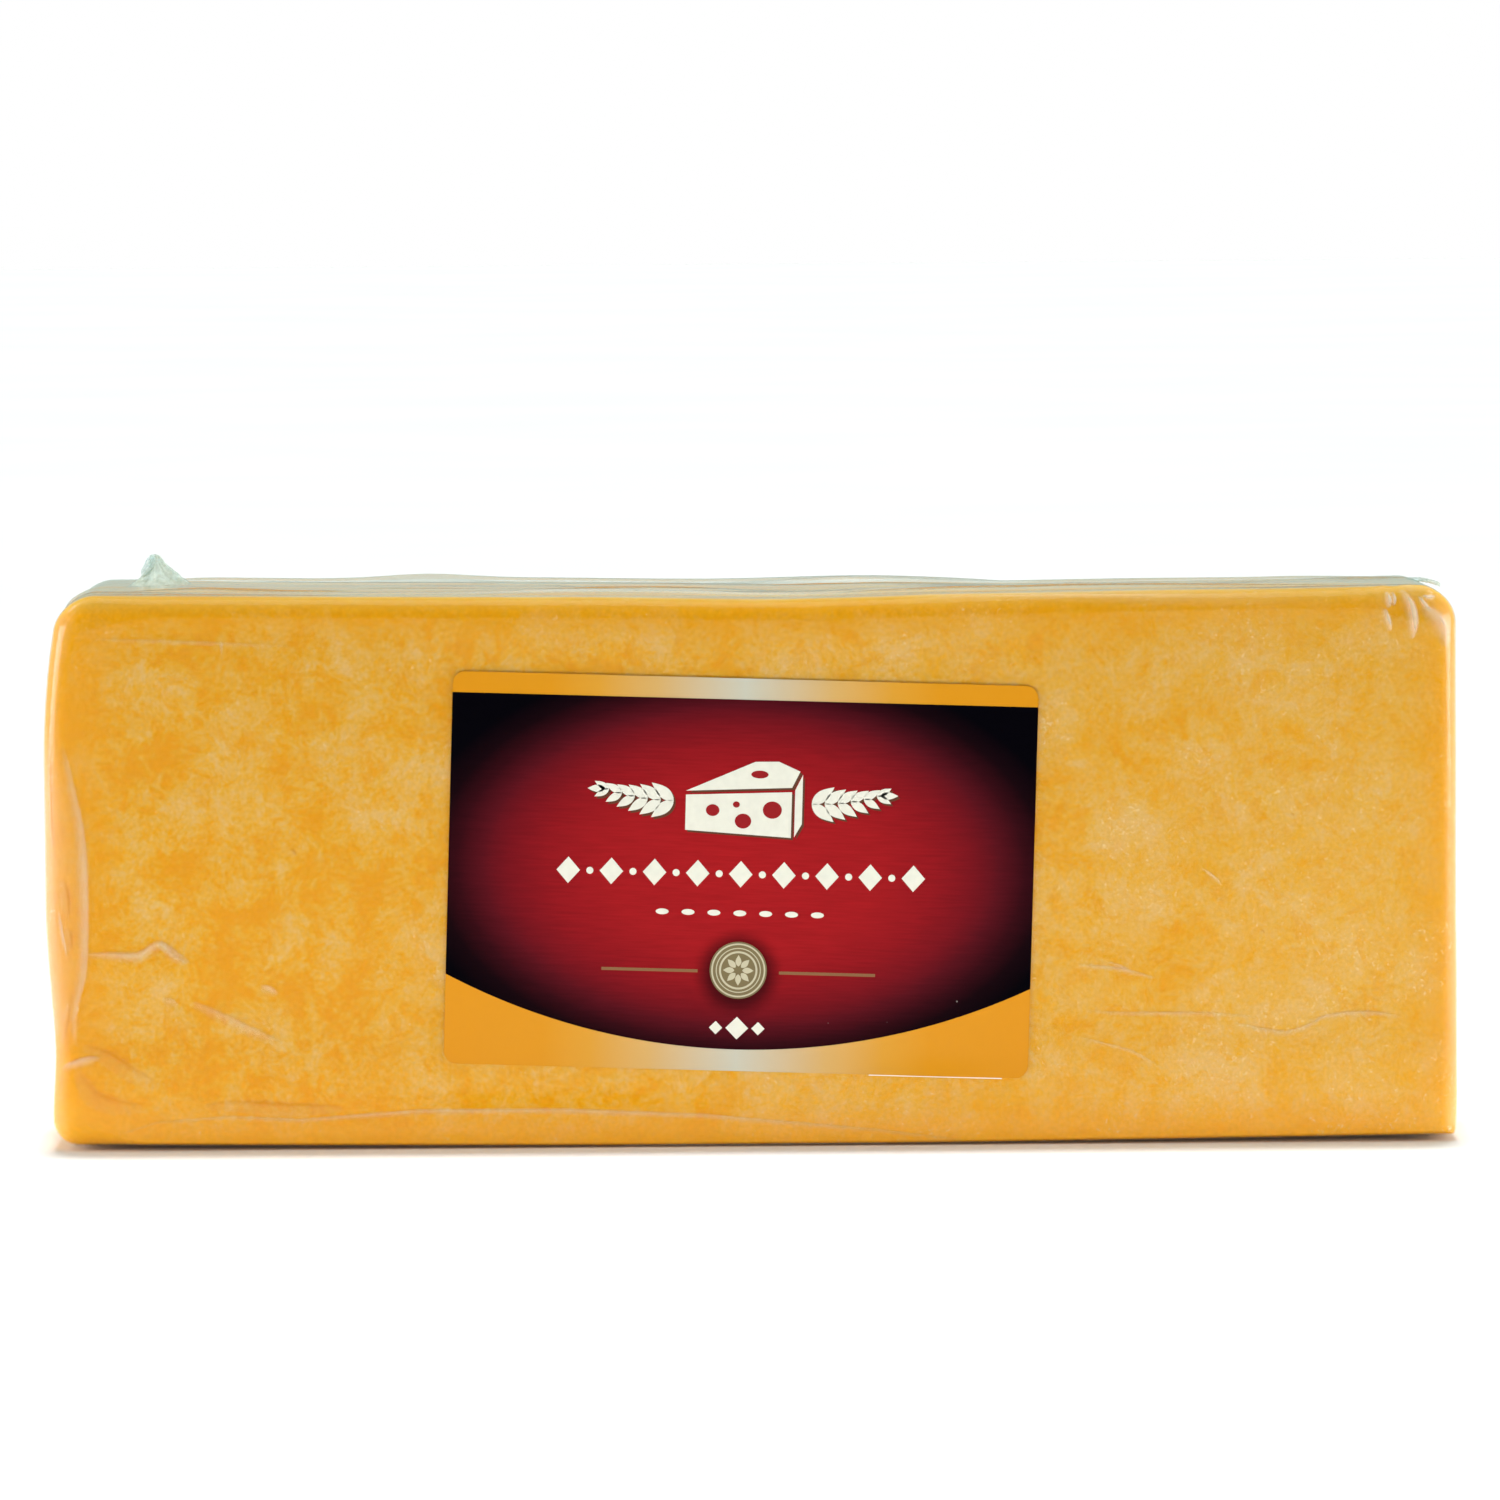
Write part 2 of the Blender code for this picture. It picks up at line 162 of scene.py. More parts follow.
# Upright pleats that the right-hand ear pulls into the top corner of the front
PULL_PLACES = (0.1545, 0.1612, 0.1677, 0.1722)
PULL_HEIGHTS = (0.0004, 0.0007, 0.0010, 0.0006)
PULL_WIDTH = 0.0021
PULL_MILK = 0.15
PULL_DROP = (0.0145, 0.0080)

# Folds of slack film that are laid on the bag as a piece of their own, and the pits between them.
# Each is (height, half width, how milky, how much deeper the orange beside it, points) in mm; that deeper
# orange, beside a fold or in a pit, is painted shade. Points are (place along X, height above the table) on
# the front, and (place along X, place along Y) on the top.
# They are cast on to the bag from a plane in front of it, or from one above it.
FOLD_STEP = 0.0005
FOLD_ACROSS = 12
FOLD_ROUNDS = 12
FOLD_CREST = 0.5
FOLD_SINK = 0.00003
FOLD_TAPER = 0.6
FOLD_END_WIDTH = 0.25
CAST_FRONT = -0.1
CAST_TOP = 0.25
SHADE_PLACE = 0.75
SHADE_SPREAD = 0.42
FRONT_FOLDS = (
    (0.3, 1.6, 0.5, 0.3, (
        (-170, 50.5), (-163.4, 50.2), (-156, 49.6), (-153.2, 51.6), (-151.1, 53.4),
        (-148.1, 51.3), (-143.2, 48.2),
    )),
    (0.2, 1.3, 0.35, 0.2, ((-151.1, 53.4), (-147.6, 49.5), (-144, 48))),
    (0.25, 1.7, 0.55, 0.1, (
        (-175.1, 103.9), (-172.6, 91.1), (-171.3, 84.7), (-170.5, 75.8), (-170.3, 63),
        (-170.5, 50.2), (-171, 44.4), (-172.3, 40), (-173.3, 34.4), (-172.8, 27.3),
    )),
    (0.14, 1.3, 0, 0.7, ((-175.6, 70.2), (-174.9, 64.8), (-174.6, 60))),
    (0.14, 1.1, 0, 0.65, ((-174.6, 57.4), (-173.9, 54.3), (-174.1, 51.5))),
    (0.15, 0.6, 0.6, 0.1, ((-176.7, 61.8), (-175.9, 55.4), (-174.6, 49.7))),
    (0.2, 0.9, 0, 0.6, ((-173.6, 41.3), (-175.1, 34.9), (-176.2, 27.3))),
    (0.2, 0.6, 0, 0.9, ((-177.9, 114.1), (-178.7, 98.8), (-178.5, 83.5), (-177.4, 73.3))),
    (0.3, 1.5, 0.6, 0.25, ((-176.2, 21.2), (-173.1, 22.4), (-170, 23.4), (-166.5, 24.1))),
    (0.08, 2.2, 0, 0.4, ((-170.8, 27), (-164.7, 24.1), (-158.5, 19.7), (-151.6, 16.4))),
    (0.08, 2.4, 0, 0.36, ((-172.6, 20.9), (-169, 13.7), (-162.9, 11.6), (-156, 11))),
    (0.1, 1.7, 0.3, 0.1, ((-143, 38), (-137.6, 35.4), (-128.9, 31), (-120, 27.3))),
    (0.1, 1.4, 0.4, 0.1, ((-125.4, 42.2), (-121, 40.1))),
    (0.1, 1.3, 0.3, 0.1, ((-150.6, 39.1), (-146.3, 37.3))),
    (0.12, 0.9, 0.38, 0.1, (
        (-160.8, 4.7), (-152.4, 7.4), (-134, 8.6), (-115.6, 7.6), (-84.2, 9.7), (-48.5, 9.6),
        (-12.8, 8), (30.6, 4.1), (53.6, 1.3),
    )),
    (0.08, 1.9, 0, 0.45, ((-140.4, 11.4), (-132.2, 11.6), (-118.5, 10.5), (-104.7, 10.6))),
    (0.04, 0.7, 0.14, 0, ((-166.5, 131.1), (-145.5, 130.2), (-116.9, 128.9))),
    (0.05, 0.5, 0.4, 0, ((-134.5, 130.8), (-134.3, 127))),
    (0.14, 0.8, 0.38, 0.2, ((83.2, 46), (93.2, 44.9), (102.9, 42.5))),
    (0.12, 0.6, 0.35, 0.15, ((90.9, 46.7), (96.5, 44.6))),
    (0.1, 0.8, 0.26, 0.15, ((85.3, 34.3), (93.7, 33.4), (116.4, 33.2), (127.6, 32.4))),
    (0.14, 0.9, 0.3, 0.25, ((123.1, 30.9), (130.7, 28.8), (136.3, 27.9), (141.7, 29.7), (146.8, 32.7))),
    (0.14, 0.9, 0.3, 0.25, ((141.7, 31.2), (150.6, 32.9), (158.8, 33.1), (165.9, 32))),
    (0.1, 0.6, 0.25, 0.1, ((83, 27.6), (97, 23.7), (104.7, 19.3))),
    (0.12, 0.6, 0.5, 0.1, ((114.9, 70.5), (117.9, 68.4), (120, 66.1))),
    (0.13, 1.9, 1.05, 0.1, ((165.9, 141), (168.2, 137.5), (168.8, 134.9), (169, 132.1), (168.5, 128.5))),
    (0.1, 1.3, 0.9, 0.05, ((161.3, 136.7), (162.4, 133.7), (163.1, 130.6))),
    (0.1, 1.4, 0.95, 0.05, ((161.9, 140.6), (162.9, 138.8), (162.4, 136.5))),
    (0.09, 0.9, 1.05, 0.05, ((163.6, 140.6), (164.4, 138.8), (163.9, 137))),
    (0.09, 1, 1.1, 0.05, ((171.3, 139.5), (173.1, 138.7), (175.1, 139.2))),
    (0.09, 1.1, 1.1, 0.05, ((170.3, 139.5), (171.6, 137.2), (173.6, 135.6))),
    (0.12, 2.6, 0.75, 0.1, ((171, 136.7), (174.4, 134.3), (176.4, 131), (177.2, 126.4))),
    (0.1, 1.1, 0, 0.9, ((-117.7, 77.1), (-116.2, 75.3))),
    (0.1, 0.6, 0, 0.9, ((137.4, 84.4), (138.4, 83.3))),
    (0.1, 0.6, 0, 0.9, ((129.7, 54.6), (130.7, 53.5))),
    (0.1, 0.35, 0, 1.8, ((-158.8, 2.9), (-158.3, 2.4))),
)
TOP_FOLDS = (
    (0.55, 1.3, 0.9, 0.2, ((-166, -27), (-100, -30), (-20, -27), (62, -31))),
    (0.45, 1.1, 0.6, 0.2, ((-120, 5), (-20, 2), (78, 7))),
    (0.4, 1.1, 0.9, 0.2, ((84, -4), (130, -9), (165, -6))),
    (0.4, 1, 0.7, 0.2, ((60, 16), (110, 13), (160, 17))),
)

# Ridges of the curd that press the film out along the top
TOP_RIDGES = (
    (0.35, 1.2, 0, 0, ((-164, -20), (-140, -19), (-118, -21), (-100, -20))),
    (0.25, 1, 0, 0, ((-104, -8), (-60, -11), (0, -6), (56, -9))),
    (0.3, 1.1, 0, 0, ((22, -27), (90, -24), (158, -27))),
    (0.4, 1.4, 0, 0, ((112, -37), (150, -39), (176, -38))),
    (0.4, 1.2, 0, 0, ((-177, -37), (-160, -39), (-132, -38), (-100, -37))),
    (0.5, 2.6, 0, 0, ((-179, -28), (-172, -26), (-160, -29), (-142, -30))),
    (0.45, 2.2, 0, 0, ((140, 20), (158, 17), (175, 18))),
    (0.25, 0.9, 0, 0, ((-60, 22), (0, 19), (66, 24))),
)

# Strip on the left-hand roll where the film lies loose, and whose milk is partly a painted highlight: its
# inner edge, as (height, place along X) in mm
LOOSE_EDGE = ((28, -173), (35, -173.3), (41, -171.5), (50, -170.3), (75, -170.3), (100, -173.6), (112, -175))
LOOSE_EDGE_SOFT = 0.0006
LOOSE_FADE = (0.024, 0.034, 0.085, 0.112)
LOOSE_STRIP_MILK_AND_HIGHLIGHT = 0.15

# Crumpled tail that the left-hand seal leaves on the top
TENT_PLACE = (-0.1545, 0.012)
TENT_TOP = 0.1500
TENT_HEIGHT = 0.0110
TENT_LEFT = 0.0150
TENT_RIGHT = 0.0125
TENT_DEEP = 0.0075
TENT_FALL_LEFT = 2.9
TENT_FALL_RIGHT = 1.25
TENT_SIDES = 120
TENT_RINGS = 44
TENT_FOLDS = 5
TENT_FOLD_DEPTH = 0.13
TENT_TWIST = 1.5
TENT_TIP = 0.08
TENT_CREASES = 17
TENT_CREASE_DEPTH = 0.045
TENT_CRUMPLE = 0.00030
TENT_CRUMPLE_CELL = 0.0020
TENT_CREASE_TURN = 2.4
TENT_CREASE_LEVEL = 0.6
TENT_FLANK = 0.92
TENT_RISE = (0.05, 0.4)
TENT_CALM = (0.8, 1.0)
TENT_GATHERED = (0.02, 0.3)
KNOT_SIZE = (0.0012, 0.0014, 0.0030)
KNOT_OFF = (-0.0017, -0.0004, -0.0031)
KNOT_LEAN = math.radians(27)
KNOT_FOLDS = 3
KNOT_FOLD_DEPTH = 0.2
KNOT_TWIST = 2.0
KNOT_CREASES = 8
KNOT_CREASE_DEPTH = 0.07
KNOT_SIDES = 64
KNOT_RINGS = 40

# Short ear that the right-hand seal leaves at the top corner
EAR_LENGTH = 0.0085
EAR_WIDTH = 0.010
EAR_THICK = 0.0005
EAR_DROP = 0.0012
EAR_CROWN = 0.0003
EAR_TIP_WIDTH = 0.45
EAR_ROOT_THICK = 1.6
EAR_TIP_THICK = 0.7
EAR_ROOT = (0.1710, 0.008, 0.1409)
EAR_CELL = 0.0005
EAR_RIBS = 0.0011
EAR_RIB_HEIGHT = 0.00010
EAR_WAVE = 0.00035
EAR_WAVES = 1.25
EAR_TIP_ROUND = 0.10
EAR_TIP_RUN = 0.15
EAR_GATHERED = (0.25, 0.8)

# Paper label, and the heights of its paper and inks above the film
LABEL_WIDTH = 0.1492
LABEL_HEIGHT = 0.1004
LABEL_THICK = 0.0003
LABEL_SEAT = 0.00003
LABEL_CORNER = 0.0033
LABEL_PLACE = (-0.0026, 0.0697)
LABEL_TILT = math.radians(1.97)
LABEL_FLAT_MARGIN = (0.004, 0.012)
LABEL_CELL = 0.002
LABEL_SHARP = math.radians(40)
LIFT_HEIGHT = 0.0006
LIFT_PLACE = 0.050
LIFT_SPREAD = 0.016
LIFT_RISE = (0.0440, 0.0502)

# Print, in millimetres from the middle of the label
PANEL_TOP = 44.8
PANEL_LOWEST = -44.7
PANEL_ARC = 167.8
PANEL_INK = (0.00027, 0.00034)
SHADOW_INK = (0.00031, 0.00037)
PALE_INK = (0.00032, 0.00040)
DETAIL_INK = (0.00034, 0.00043)
RULE_SPAN = (10.4, 34.9)
RULE_PLACE = -24.8
RULE_WIDTH = 0.75
MEDAL_PLACE = -24.4
MEDAL_RADIUS = 7.3
MEDAL_RINGS = ((6.5, 6.9), (4.4, 4.9), (5.5, 5.75))
EMBLEM_PLACE = 19.6
ROW_PLACE = 0.2
SMALL_ROW_PLACE = -9.8
FOOT_MARK_PLACE = -39.2
CIRCLE_SIDES = 72
LEAF_STEPS = 14
# Painted glint: a white line along the lower edge where the label has come away
GLINT_SPAN = (34.0, 68.0)
GLINT_STEPS = 40
GLINT_WIDTH = 0.50
GLINT_DROP = 0.25
GLINT_SEED = 3


def ease(low, high, value):
    """0 below low, 1 above high, and a smooth step between them."""
    t = np.clip((value - low) / (high - low), 0.0, 1.0)
    return t * t * (3 - 2 * t)


def mix(a, b, share):
    return a + (b - a) * share


def bell(offset, spread):
    return np.exp(-((offset / spread) ** 2))


def lumps(places, cell):
    """Smooth noise from -1 to 1 at each place, with lumps of about the size of the cell."""
    return np.array([noise.noise(Vector(place / cell)) for place in places])


# Cage and its rounded form


def even_cuts(low, high, cell):
    """Places that part the stretch from low to high into equal cells of about this size."""
    count = max(round((high - low) / cell), 1)
    return [low + (high - low) * k / count for k in range(count + 1)]


def cuts_along(half, stretches):
    """Places from -half to half: cells of the size given for each stretch, and small ones in the rolls."""
    places = even_cuts(-half, -half + ROLL, ROLL_CELL)
    for end, cell in stretches:
        start = places[-1]
        stop = min(end, half - ROLL)
        if stop > start:
            places += even_cuts(start, stop, cell)[1:]
    return places + even_cuts(half - ROLL, half, ROLL_CELL)[1:]


def box_cage(cuts):
    """Points and faces of a box whose sides are cut at these places along X, Y and Z."""
    last = [len(places) - 1 for places in cuts]
    number = {}
    faces = []
    for axis in range(3):
        one = (axis + 1) % 3
        two = (axis + 2) % 3
        for end in (0, last[axis]):
            for i in range(last[one]):
                for j in range(last[two]):
                    corners = []
                    for step_i, step_j in ((0, 0), (1, 0), (1, 1), (0, 1)):
                        index = [0, 0, 0]
                        index[axis] = end
                        index[one] = i + step_i
                        index[two] = j + step_j
                        corners.append(number.setdefault(tuple(index), len(number)))
                    faces.append(corners if end else corners[::-1])
    points = np.array([[cuts[a][index[a]] for a in range(3)] for index in number])
    return points, faces


def reach_along(side, z):
    """How far the roll at the left (-1) or right (1) end reaches in along X, at a height in the cage."""
    height = z + HALF[2]
    swell = LEFT_REACH_SWELL * bell(height - LEFT_SWELL_HEIGHT, LEFT_SWELL_SPREAD)
    left = mix(FOOT_REACH_LEFT, LEFT_REACH, ease(*FOOT_RISE_LEFT, height)) + swell
    right = mix(FOOT_REACH_RIGHT, RIGHT_REACH, ease(*FOOT_RISE_RIGHT, height))
    corner = np.where(side < 0, CORNER_REACH_LEFT, CORNER_REACH_RIGHT)
    return mix(np.where(side < 0, left, right), corner, ease(HEIGHT - 2 * ROLL, HEIGHT, height))


def reach_up(side, x):
    """How far the roll at the foot (-1) or the top (1) reaches in along Z."""
    left = 1 - ease(*CORNER_RUN, HALF[0] + x)
    right = 1 - ease(*CORNER_RUN, HALF[0] - x)
    top = mix(mix(TOP_REACH, CORNER_REACH_LEFT, left), CORNER_REACH_RIGHT, right)
    foot = mix(mix(FOOT_REACH, FOOT_REACH_LEFT, left), FOOT_REACH_RIGHT, right)
    return np.where(side > 0, top, foot)


def unit(ways):
    return ways / np.linalg.norm(ways, axis=1, keepdims=True)


def rounded(points):
    """The places on the rounded block, and their outward directions, for points on the cage."""
    sides = np.where(points > 0, 1.0, -1.0)
    face = np.full(len(points), FACE_REACH)
    reaches = np.stack(
        [reach_along(sides[:, 0], points[:, 2]), face, reach_up(sides[:, 2], points[:, 0])], axis=1
    )
    flat = np.array(HALF) - ROLL
    inner = np.minimum(np.abs(points) / flat, 1.0) * sides * (np.array(HALF) - reaches)
    turn = np.clip((np.abs(points) - flat) / ROLL, 0.0, 1.0)
    towards = unit(sides * np.tan(turn * math.pi / 4))
    place = inner + reaches * towards + np.array((0, 0, HALF[2]))
    return place, unit(towards / reaches)


# Relief of the film


def pleat_relief(x, y, count, span, half_runs, fade, slopes, heights, width, seed):
    """Height of one set of pleats on the top."""
    draw = random.Random(seed)
    height = 0.0
    for k in range(count):
        across = mix(*span, (k + 0.5) / count) + draw.uniform(-PLEAT_WANDER, PLEAT_WANDER)
        middle = draw.uniform(-PLEAT_MIDDLE, PLEAT_MIDDLE)
        half_run = draw.uniform(*half_runs)
        start = max(middle - half_run, -HALF[0] + PLEAT_MARGIN)
        end = min(middle + half_run, HALF[0] - PLEAT_MARGIN)
        slope = draw.uniform(-slopes, slopes)
        run = ease(start, start + fade, x) * (1 - ease(end - fade, end, x))
        height = height + draw.uniform(*heights) * run * bell(y - across - slope * x, width)
    return height


def hump_relief(x, y):
    return sum(
        tall * bell(x - place, spread) * bell(y - across, HUMP_WIDTH)
        for place, across, tall, spread in HUMPS
    )


def gather_relief(y, z, count, tilts, heights, width, run, seed):
    """Height of one set of ridges that fan out from the weld, on either end."""
    draw = random.Random(seed)
    fan = bell(y - SEAL_BACK, run)
    height = 0.0
    for k in range(count):
        middle = mix(GATHER_MARGIN, HEIGHT - GATHER_MARGIN, (k + 0.5) / count)
        middle += draw.uniform(-GATHER_WANDER, GATHER_WANDER)
        tilt = draw.uniform(-tilts, tilts)
        height = height + draw.uniform(*heights) * fan * bell(z - middle - tilt * (y - SEAL_BACK), width)
    return height


def seal_band(y):
    """1 across the weld band, and 0 beside it."""
    inner, outer = SEAL_EDGE
    return 1 - ease(SEAL_WIDTH / 2 - inner, SEAL_WIDTH / 2 + outer, np.abs(y - SEAL_BACK))


def weld_relief(y, z):
    """Weld band on either end."""
    inside = ease(*SEAL_FOOT, z) * (1 - ease(HEIGHT - SEAL_TOP, HEIGHT, z))
    return SEAL_HEIGHT * inside * seal_band(y)


def strip_relief(x, y):
    """Tail of the left-hand weld, which is folded over the corner and lies along the top."""
    return STRIP_HEIGHT * seal_band(y) * (1 - ease(*STRIP_END, x))


def pull_relief(x, z):
    drop = ease(HEIGHT - PULL_DROP[0], HEIGHT - PULL_DROP[1], z)
    return drop * sum(tall * bell(x - place, PULL_WIDTH) for place, tall in zip(PULL_PLACES, PULL_HEIGHTS))


def loose_strip(x, z):
    """1 on the left-hand roll where the film lies loose on the cheese, and where its milk is partly a painted
    highlight.
    """
    heights, places = np.array(LOOSE_EDGE).T * MM
    inside = ease(-LOOSE_EDGE_SOFT, LOOSE_EDGE_SOFT, np.interp(z, heights, places) - x)
    low, foot, top, high = LOOSE_FADE
    return inside * ease(low, foot, z) * (1 - ease(top, high, z))


def swell_relief(place, outward):
    """Slow unevenness of the sides. The label keeps the film under it flat, and the foot is flat too."""
    off_label = np.maximum(
        np.abs(place[:, 0] - LABEL_PLACE[0]) - LABEL_WIDTH / 2,
        np.abs(place[:, 2] - LABEL_PLACE[1]) - LABEL_HEIGHT / 2,
    )
    free = np.where(outward[:, 1] < 0, ease(*LABEL_FLAT_MARGIN, off_label), 1.0)
    above_foot = (1 - np.maximum(-outward[:, 2], 0.0)) * ease(0, SWELL_FOOT, place[:, 2])
    return SWELL * free * above_foot * (1 + lumps(place, SWELL_CELL)), free * above_foot


def settled(place):
    """Moves places by the lean of the left end, the bow of the block and the slope of its top."""
    x, y, z = place.T
    lean = TOP_LEAN * np.maximum((z - TOP_LEAN_FROM) / (HEIGHT - TOP_LEAN_FROM), 0) ** 2
    lean = lean + FOOT_LEAN * (1 - ease(*FOOT_LEAN_FADE, z)) + WAIST * bell(z - WAIST_HEIGHT, WAIST_SPREAD)
    lean = lean * (1 - ease(*LEAN_RUN, HALF[0] + x))
    bow = BOW * (np.maximum(np.abs(x) - BOW_FROM, 0) / (HALF[0] - BOW_FROM)) ** BOW_CURVE
    dip = DIP * bell(x - DIP_PLACE, DIP_SPREAD)
    drop = BACK_DROP * ease(*BACK_DROP_RUN, x) * ease(-HALF[1], HALF[1], y)
    return np.stack([x + lean, y, z + bow - (dip + drop) * z / HEIGHT], axis=1)


def in_scene(name, data):
    """A new object of this data, in the scene."""
    made = bpy.data.objects.new(name, data)
    bpy.context.scene.collection.objects.link(made)
    return made


def mesh_piece(name, points, faces, material, marks=()):
    """A smooth mesh object. marks are (name, one number for each point), for its material to read."""
    data = bpy.data.meshes.new(name)
    data.from_pydata([tuple(point) for point in points], [], faces)
    for mark, values in marks:
        data.attributes.new(mark, "FLOAT", "POINT").data.foreach_set("value", values.astype(np.float32))
    data.materials.append(material)
    data.shade_smooth()
    return in_scene(name, data)


def edge_closeness(place):
    """1 on the block's edges and 0 well inside them, on whichever side the place lies."""
    gaps = np.sort(np.array(HALF) - np.abs(place - np.array((0, 0, HALF[2]))), axis=1)
    spread = mix(*EDGE_SPREAD, ease(*EDGE_SPREAD_RUN, HALF[0] + place[:, 0]))
    return bell(np.maximum(gaps[:, 1], 0), spread)


def cheese_block(material):
    """The cheese under the film: the rounded block with the small unevenness of pressed curd."""
    cuts = [cuts_along(half, ((half, CHEESE_CELL),)) for half in HALF]
    points, faces = box_cage(cuts)
    place, outward = rounded(points)
    swell, free = swell_relief(place, outward)
    curd = CURD_BUMP * free * lumps(place, CURD_CELL)
    height = swell + curd - FILM_CLEAR
    placed = settled(place + outward * height[:, None])
    return mesh_piece("cheese_block", placed, faces, material, [("edge", edge_closeness(place))])


def film_bag(material):
    """The clear bag drawn tight round the cheese, with its pleats, gathers and welded ends."""
    cuts = [cuts_along(half, runs) for half, runs in zip(HALF, (FILM_ALONG, FILM_DEEP, FILM_TALL))]
    points, faces = box_cage(cuts)
    place, outward = rounded(points)
    x, y, z = place.T
    up = np.maximum(outward[:, 2], 0.0)
    end = ease(*END_FACING, np.abs(outward[:, 0]))
    top = hump_relief(x, y) + strip_relief(x, y) + sum(pleat_relief(x, y, *pleats) for pleats in PLEAT_SETS)
    ends = weld_relief(y, z) + sum(gather_relief(y, z, *gathers) for gathers in GATHER_SETS)
    slack = up * top + end * ends
    pulls = ease(*FRONT_FACING, -outward[:, 1]) * pull_relief(x, z)
    swell = swell_relief(place, outward)[0]
    placed = settled(place + outward * (slack + pulls + swell)[:, None])
    weld = end * seal_band(y) * ease(*SEAL_FOOT, z)
    loose = np.clip(slack / MM, 0, 1) + up * mix(*TOP_LOOSE, ease(-HALF[1], HALF[1], y))
    # The loose strip's milk is partly a painted highlight
    loose = loose + PULL_MILK * pulls / MM + LOOSE_STRIP_MILK_AND_HIGHLIGHT * loose_strip(x, z)
    # Milk on the rolls beside the front: a painted highlight
    loose = loose + ROLL_PAINTED_HIGHLIGHT * 4 * (outward[:, 0] * np.minimum(outward[:, 1], 0)) ** 2
    marks = [("slack", np.clip(loose, 0, 1)), ("weld", weld)]
    return mesh_piece("film_bag", placed, faces, material, marks)


def smooth_line(points):
    """Even places along the line through these points, with its corners rounded off."""
    line = np.array(points) * MM
    run = np.concatenate([[0.0], np.cumsum(np.linalg.norm(np.diff(line, axis=0), axis=1))])
    stops = np.linspace(0.0, run[-1], max(round(run[-1] / FOLD_STEP), 10) + 1)
    even = np.stack([np.interp(stops, run, line[:, k]) for k in (0, 1)], axis=1)
    for _ in range(FOLD_ROUNDS):
        even[1:-1] = (even[:-2] + 2 * even[1:-1] + even[2:]) / 4
    return even


def laid_folds(name, folds, on_front, bag, material):
    """Narrow ridges that follow the surface of the bag, each with one side steeper than the other."""
    surface = bvhtree.BVHTree.FromPolygons(
        [vertex.co for vertex in bag.data.vertices], [tuple(face.vertices) for face in bag.data.polygons]
    )
    across = np.linspace(-1.0, 1.0, FOLD_ACROSS + 1)
    ridge = np.where(across < FOLD_CREST, ease(-1.0, FOLD_CREST, across), 1 - ease(FOLD_CREST, 1.0, across))
    points, faces, milky, shade, raised = [], [], [], [], []
    for tall, half_width, milk, dark, corners in folds:
        line = smooth_line(corners)
        aside = unit(np.gradient(line, axis=0))[:, ::-1] * (-1, 1)
        taper = np.sin(np.linspace(0.0, math.pi, len(line))) ** FOLD_TAPER
        first = len(points)
        for k, swell in enumerate(taper):
            for t, rise in zip(across, ridge):
                u, v = line[k] + aside[k] * t * half_width * MM * mix(FOLD_END_WIDTH, 1.0, swell)
                start, way = ((u, CAST_FRONT, v), (0, 1, 0)) if on_front else ((u, v, CAST_TOP), (0, 0, -1))
                place, outward = surface.ray_cast(start, way)[:2]
                points.append(place + outward * (tall * MM * rise * swell - FOLD_SINK))
                milky.append(milk * rise * swell)
                raised.append(rise * swell)
                shade.append(dark * swell * bell(t - SHADE_PLACE, SHADE_SPREAD))
        wide = len(across)
        for k in range(len(line) - 1):
            for j in range(wide - 1):
                at = first + k * wide + j
                faces.append((at, at + wide, at + wide + 1, at + 1))
    marks = [("milk", np.array(milky)), ("shade", np.array(shade)), ("gathered", np.array(raised))]
    return mesh_piece(name, points, faces, material, marks)


# Loose ends of the bag


def turned_grid(sides, rings, place_of):
    """Points and faces of a closed form: a tip, rings of points and a foot. place_of gives (x, y, z)."""
    points = [place_of(0.0, 0.0)]
    for ring in range(1, rings):
        for side in range(sides):
            points.append(place_of(side / sides * 2 * math.pi, ring / rings))
    points.append(place_of(0.0, 1.0))
    foot = len(points) - 1
    faces = []
    for side in range(sides):
        after = (side + 1) % sides
        faces.append((0, 1 + side, 1 + after))
        for ring in range(rings - 2):
            start = 1 + ring * sides
            faces.append((start + side, start + sides + side, start + sides + after, start + after))
        last = 1 + (rings - 2) * sides
        faces.append((last + side, foot, last + after))
    return np.array(points), faces


def film_tail(material):
    """Crumpled tail: a cone with a hollow left flank, flattened between front and back, with sharp folds."""

    def tent(angle, down):
        """Place on the tent, from its tip at 0 to the middle of its foot at 1."""
        flank = min(down / TENT_FLANK, 1.0)
        closing = max(down - TENT_FLANK, 0.0) / (1 - TENT_FLANK)
        up = 1 - flank
        left = (1 - math.cos(angle)) / 2
        fold = 1 + TENT_FOLD_DEPTH * math.cos(TENT_FOLDS * angle + TENT_TWIST * up)
        crease = abs(math.sin(TENT_CREASES / 2 * angle + TENT_CREASE_TURN * up)) - TENT_CREASE_LEVEL
        fold += TENT_CREASE_DEPTH * crease * math.sin(math.pi * min(flank * 1.4, 1.0)) * 2
        fall = mix(TENT_FALL_RIGHT, TENT_FALL_LEFT, left)
        width = mix(TENT_TIP, 1.0, (1 - up) ** fall) * fold * (1 - closing)
        if down == 0.0:
            width = 0.0
        return (
            width * mix(TENT_RIGHT, TENT_LEFT, left) * math.cos(angle),
            width * TENT_DEEP * math.sin(angle),
            (up - 1) * TENT_HEIGHT,
        )

    points, faces = turned_grid(TENT_SIDES, TENT_RINGS, tent)
    crumple = np.stack([lumps(points + shift, TENT_CRUMPLE_CELL) for shift in (0.0, 0.1, 0.2)], axis=1)
    up = 1 + points[:, 2:] / TENT_HEIGHT
    points = points + TENT_CRUMPLE * crumple * ease(*TENT_RISE, up) * (1 - ease(*TENT_CALM, up))
    marks = [("gathered", ease(*TENT_GATHERED, up[:, 0]))]
    return mesh_piece("film_tail", points + np.array((*TENT_PLACE, TENT_TOP)), faces, material, marks)


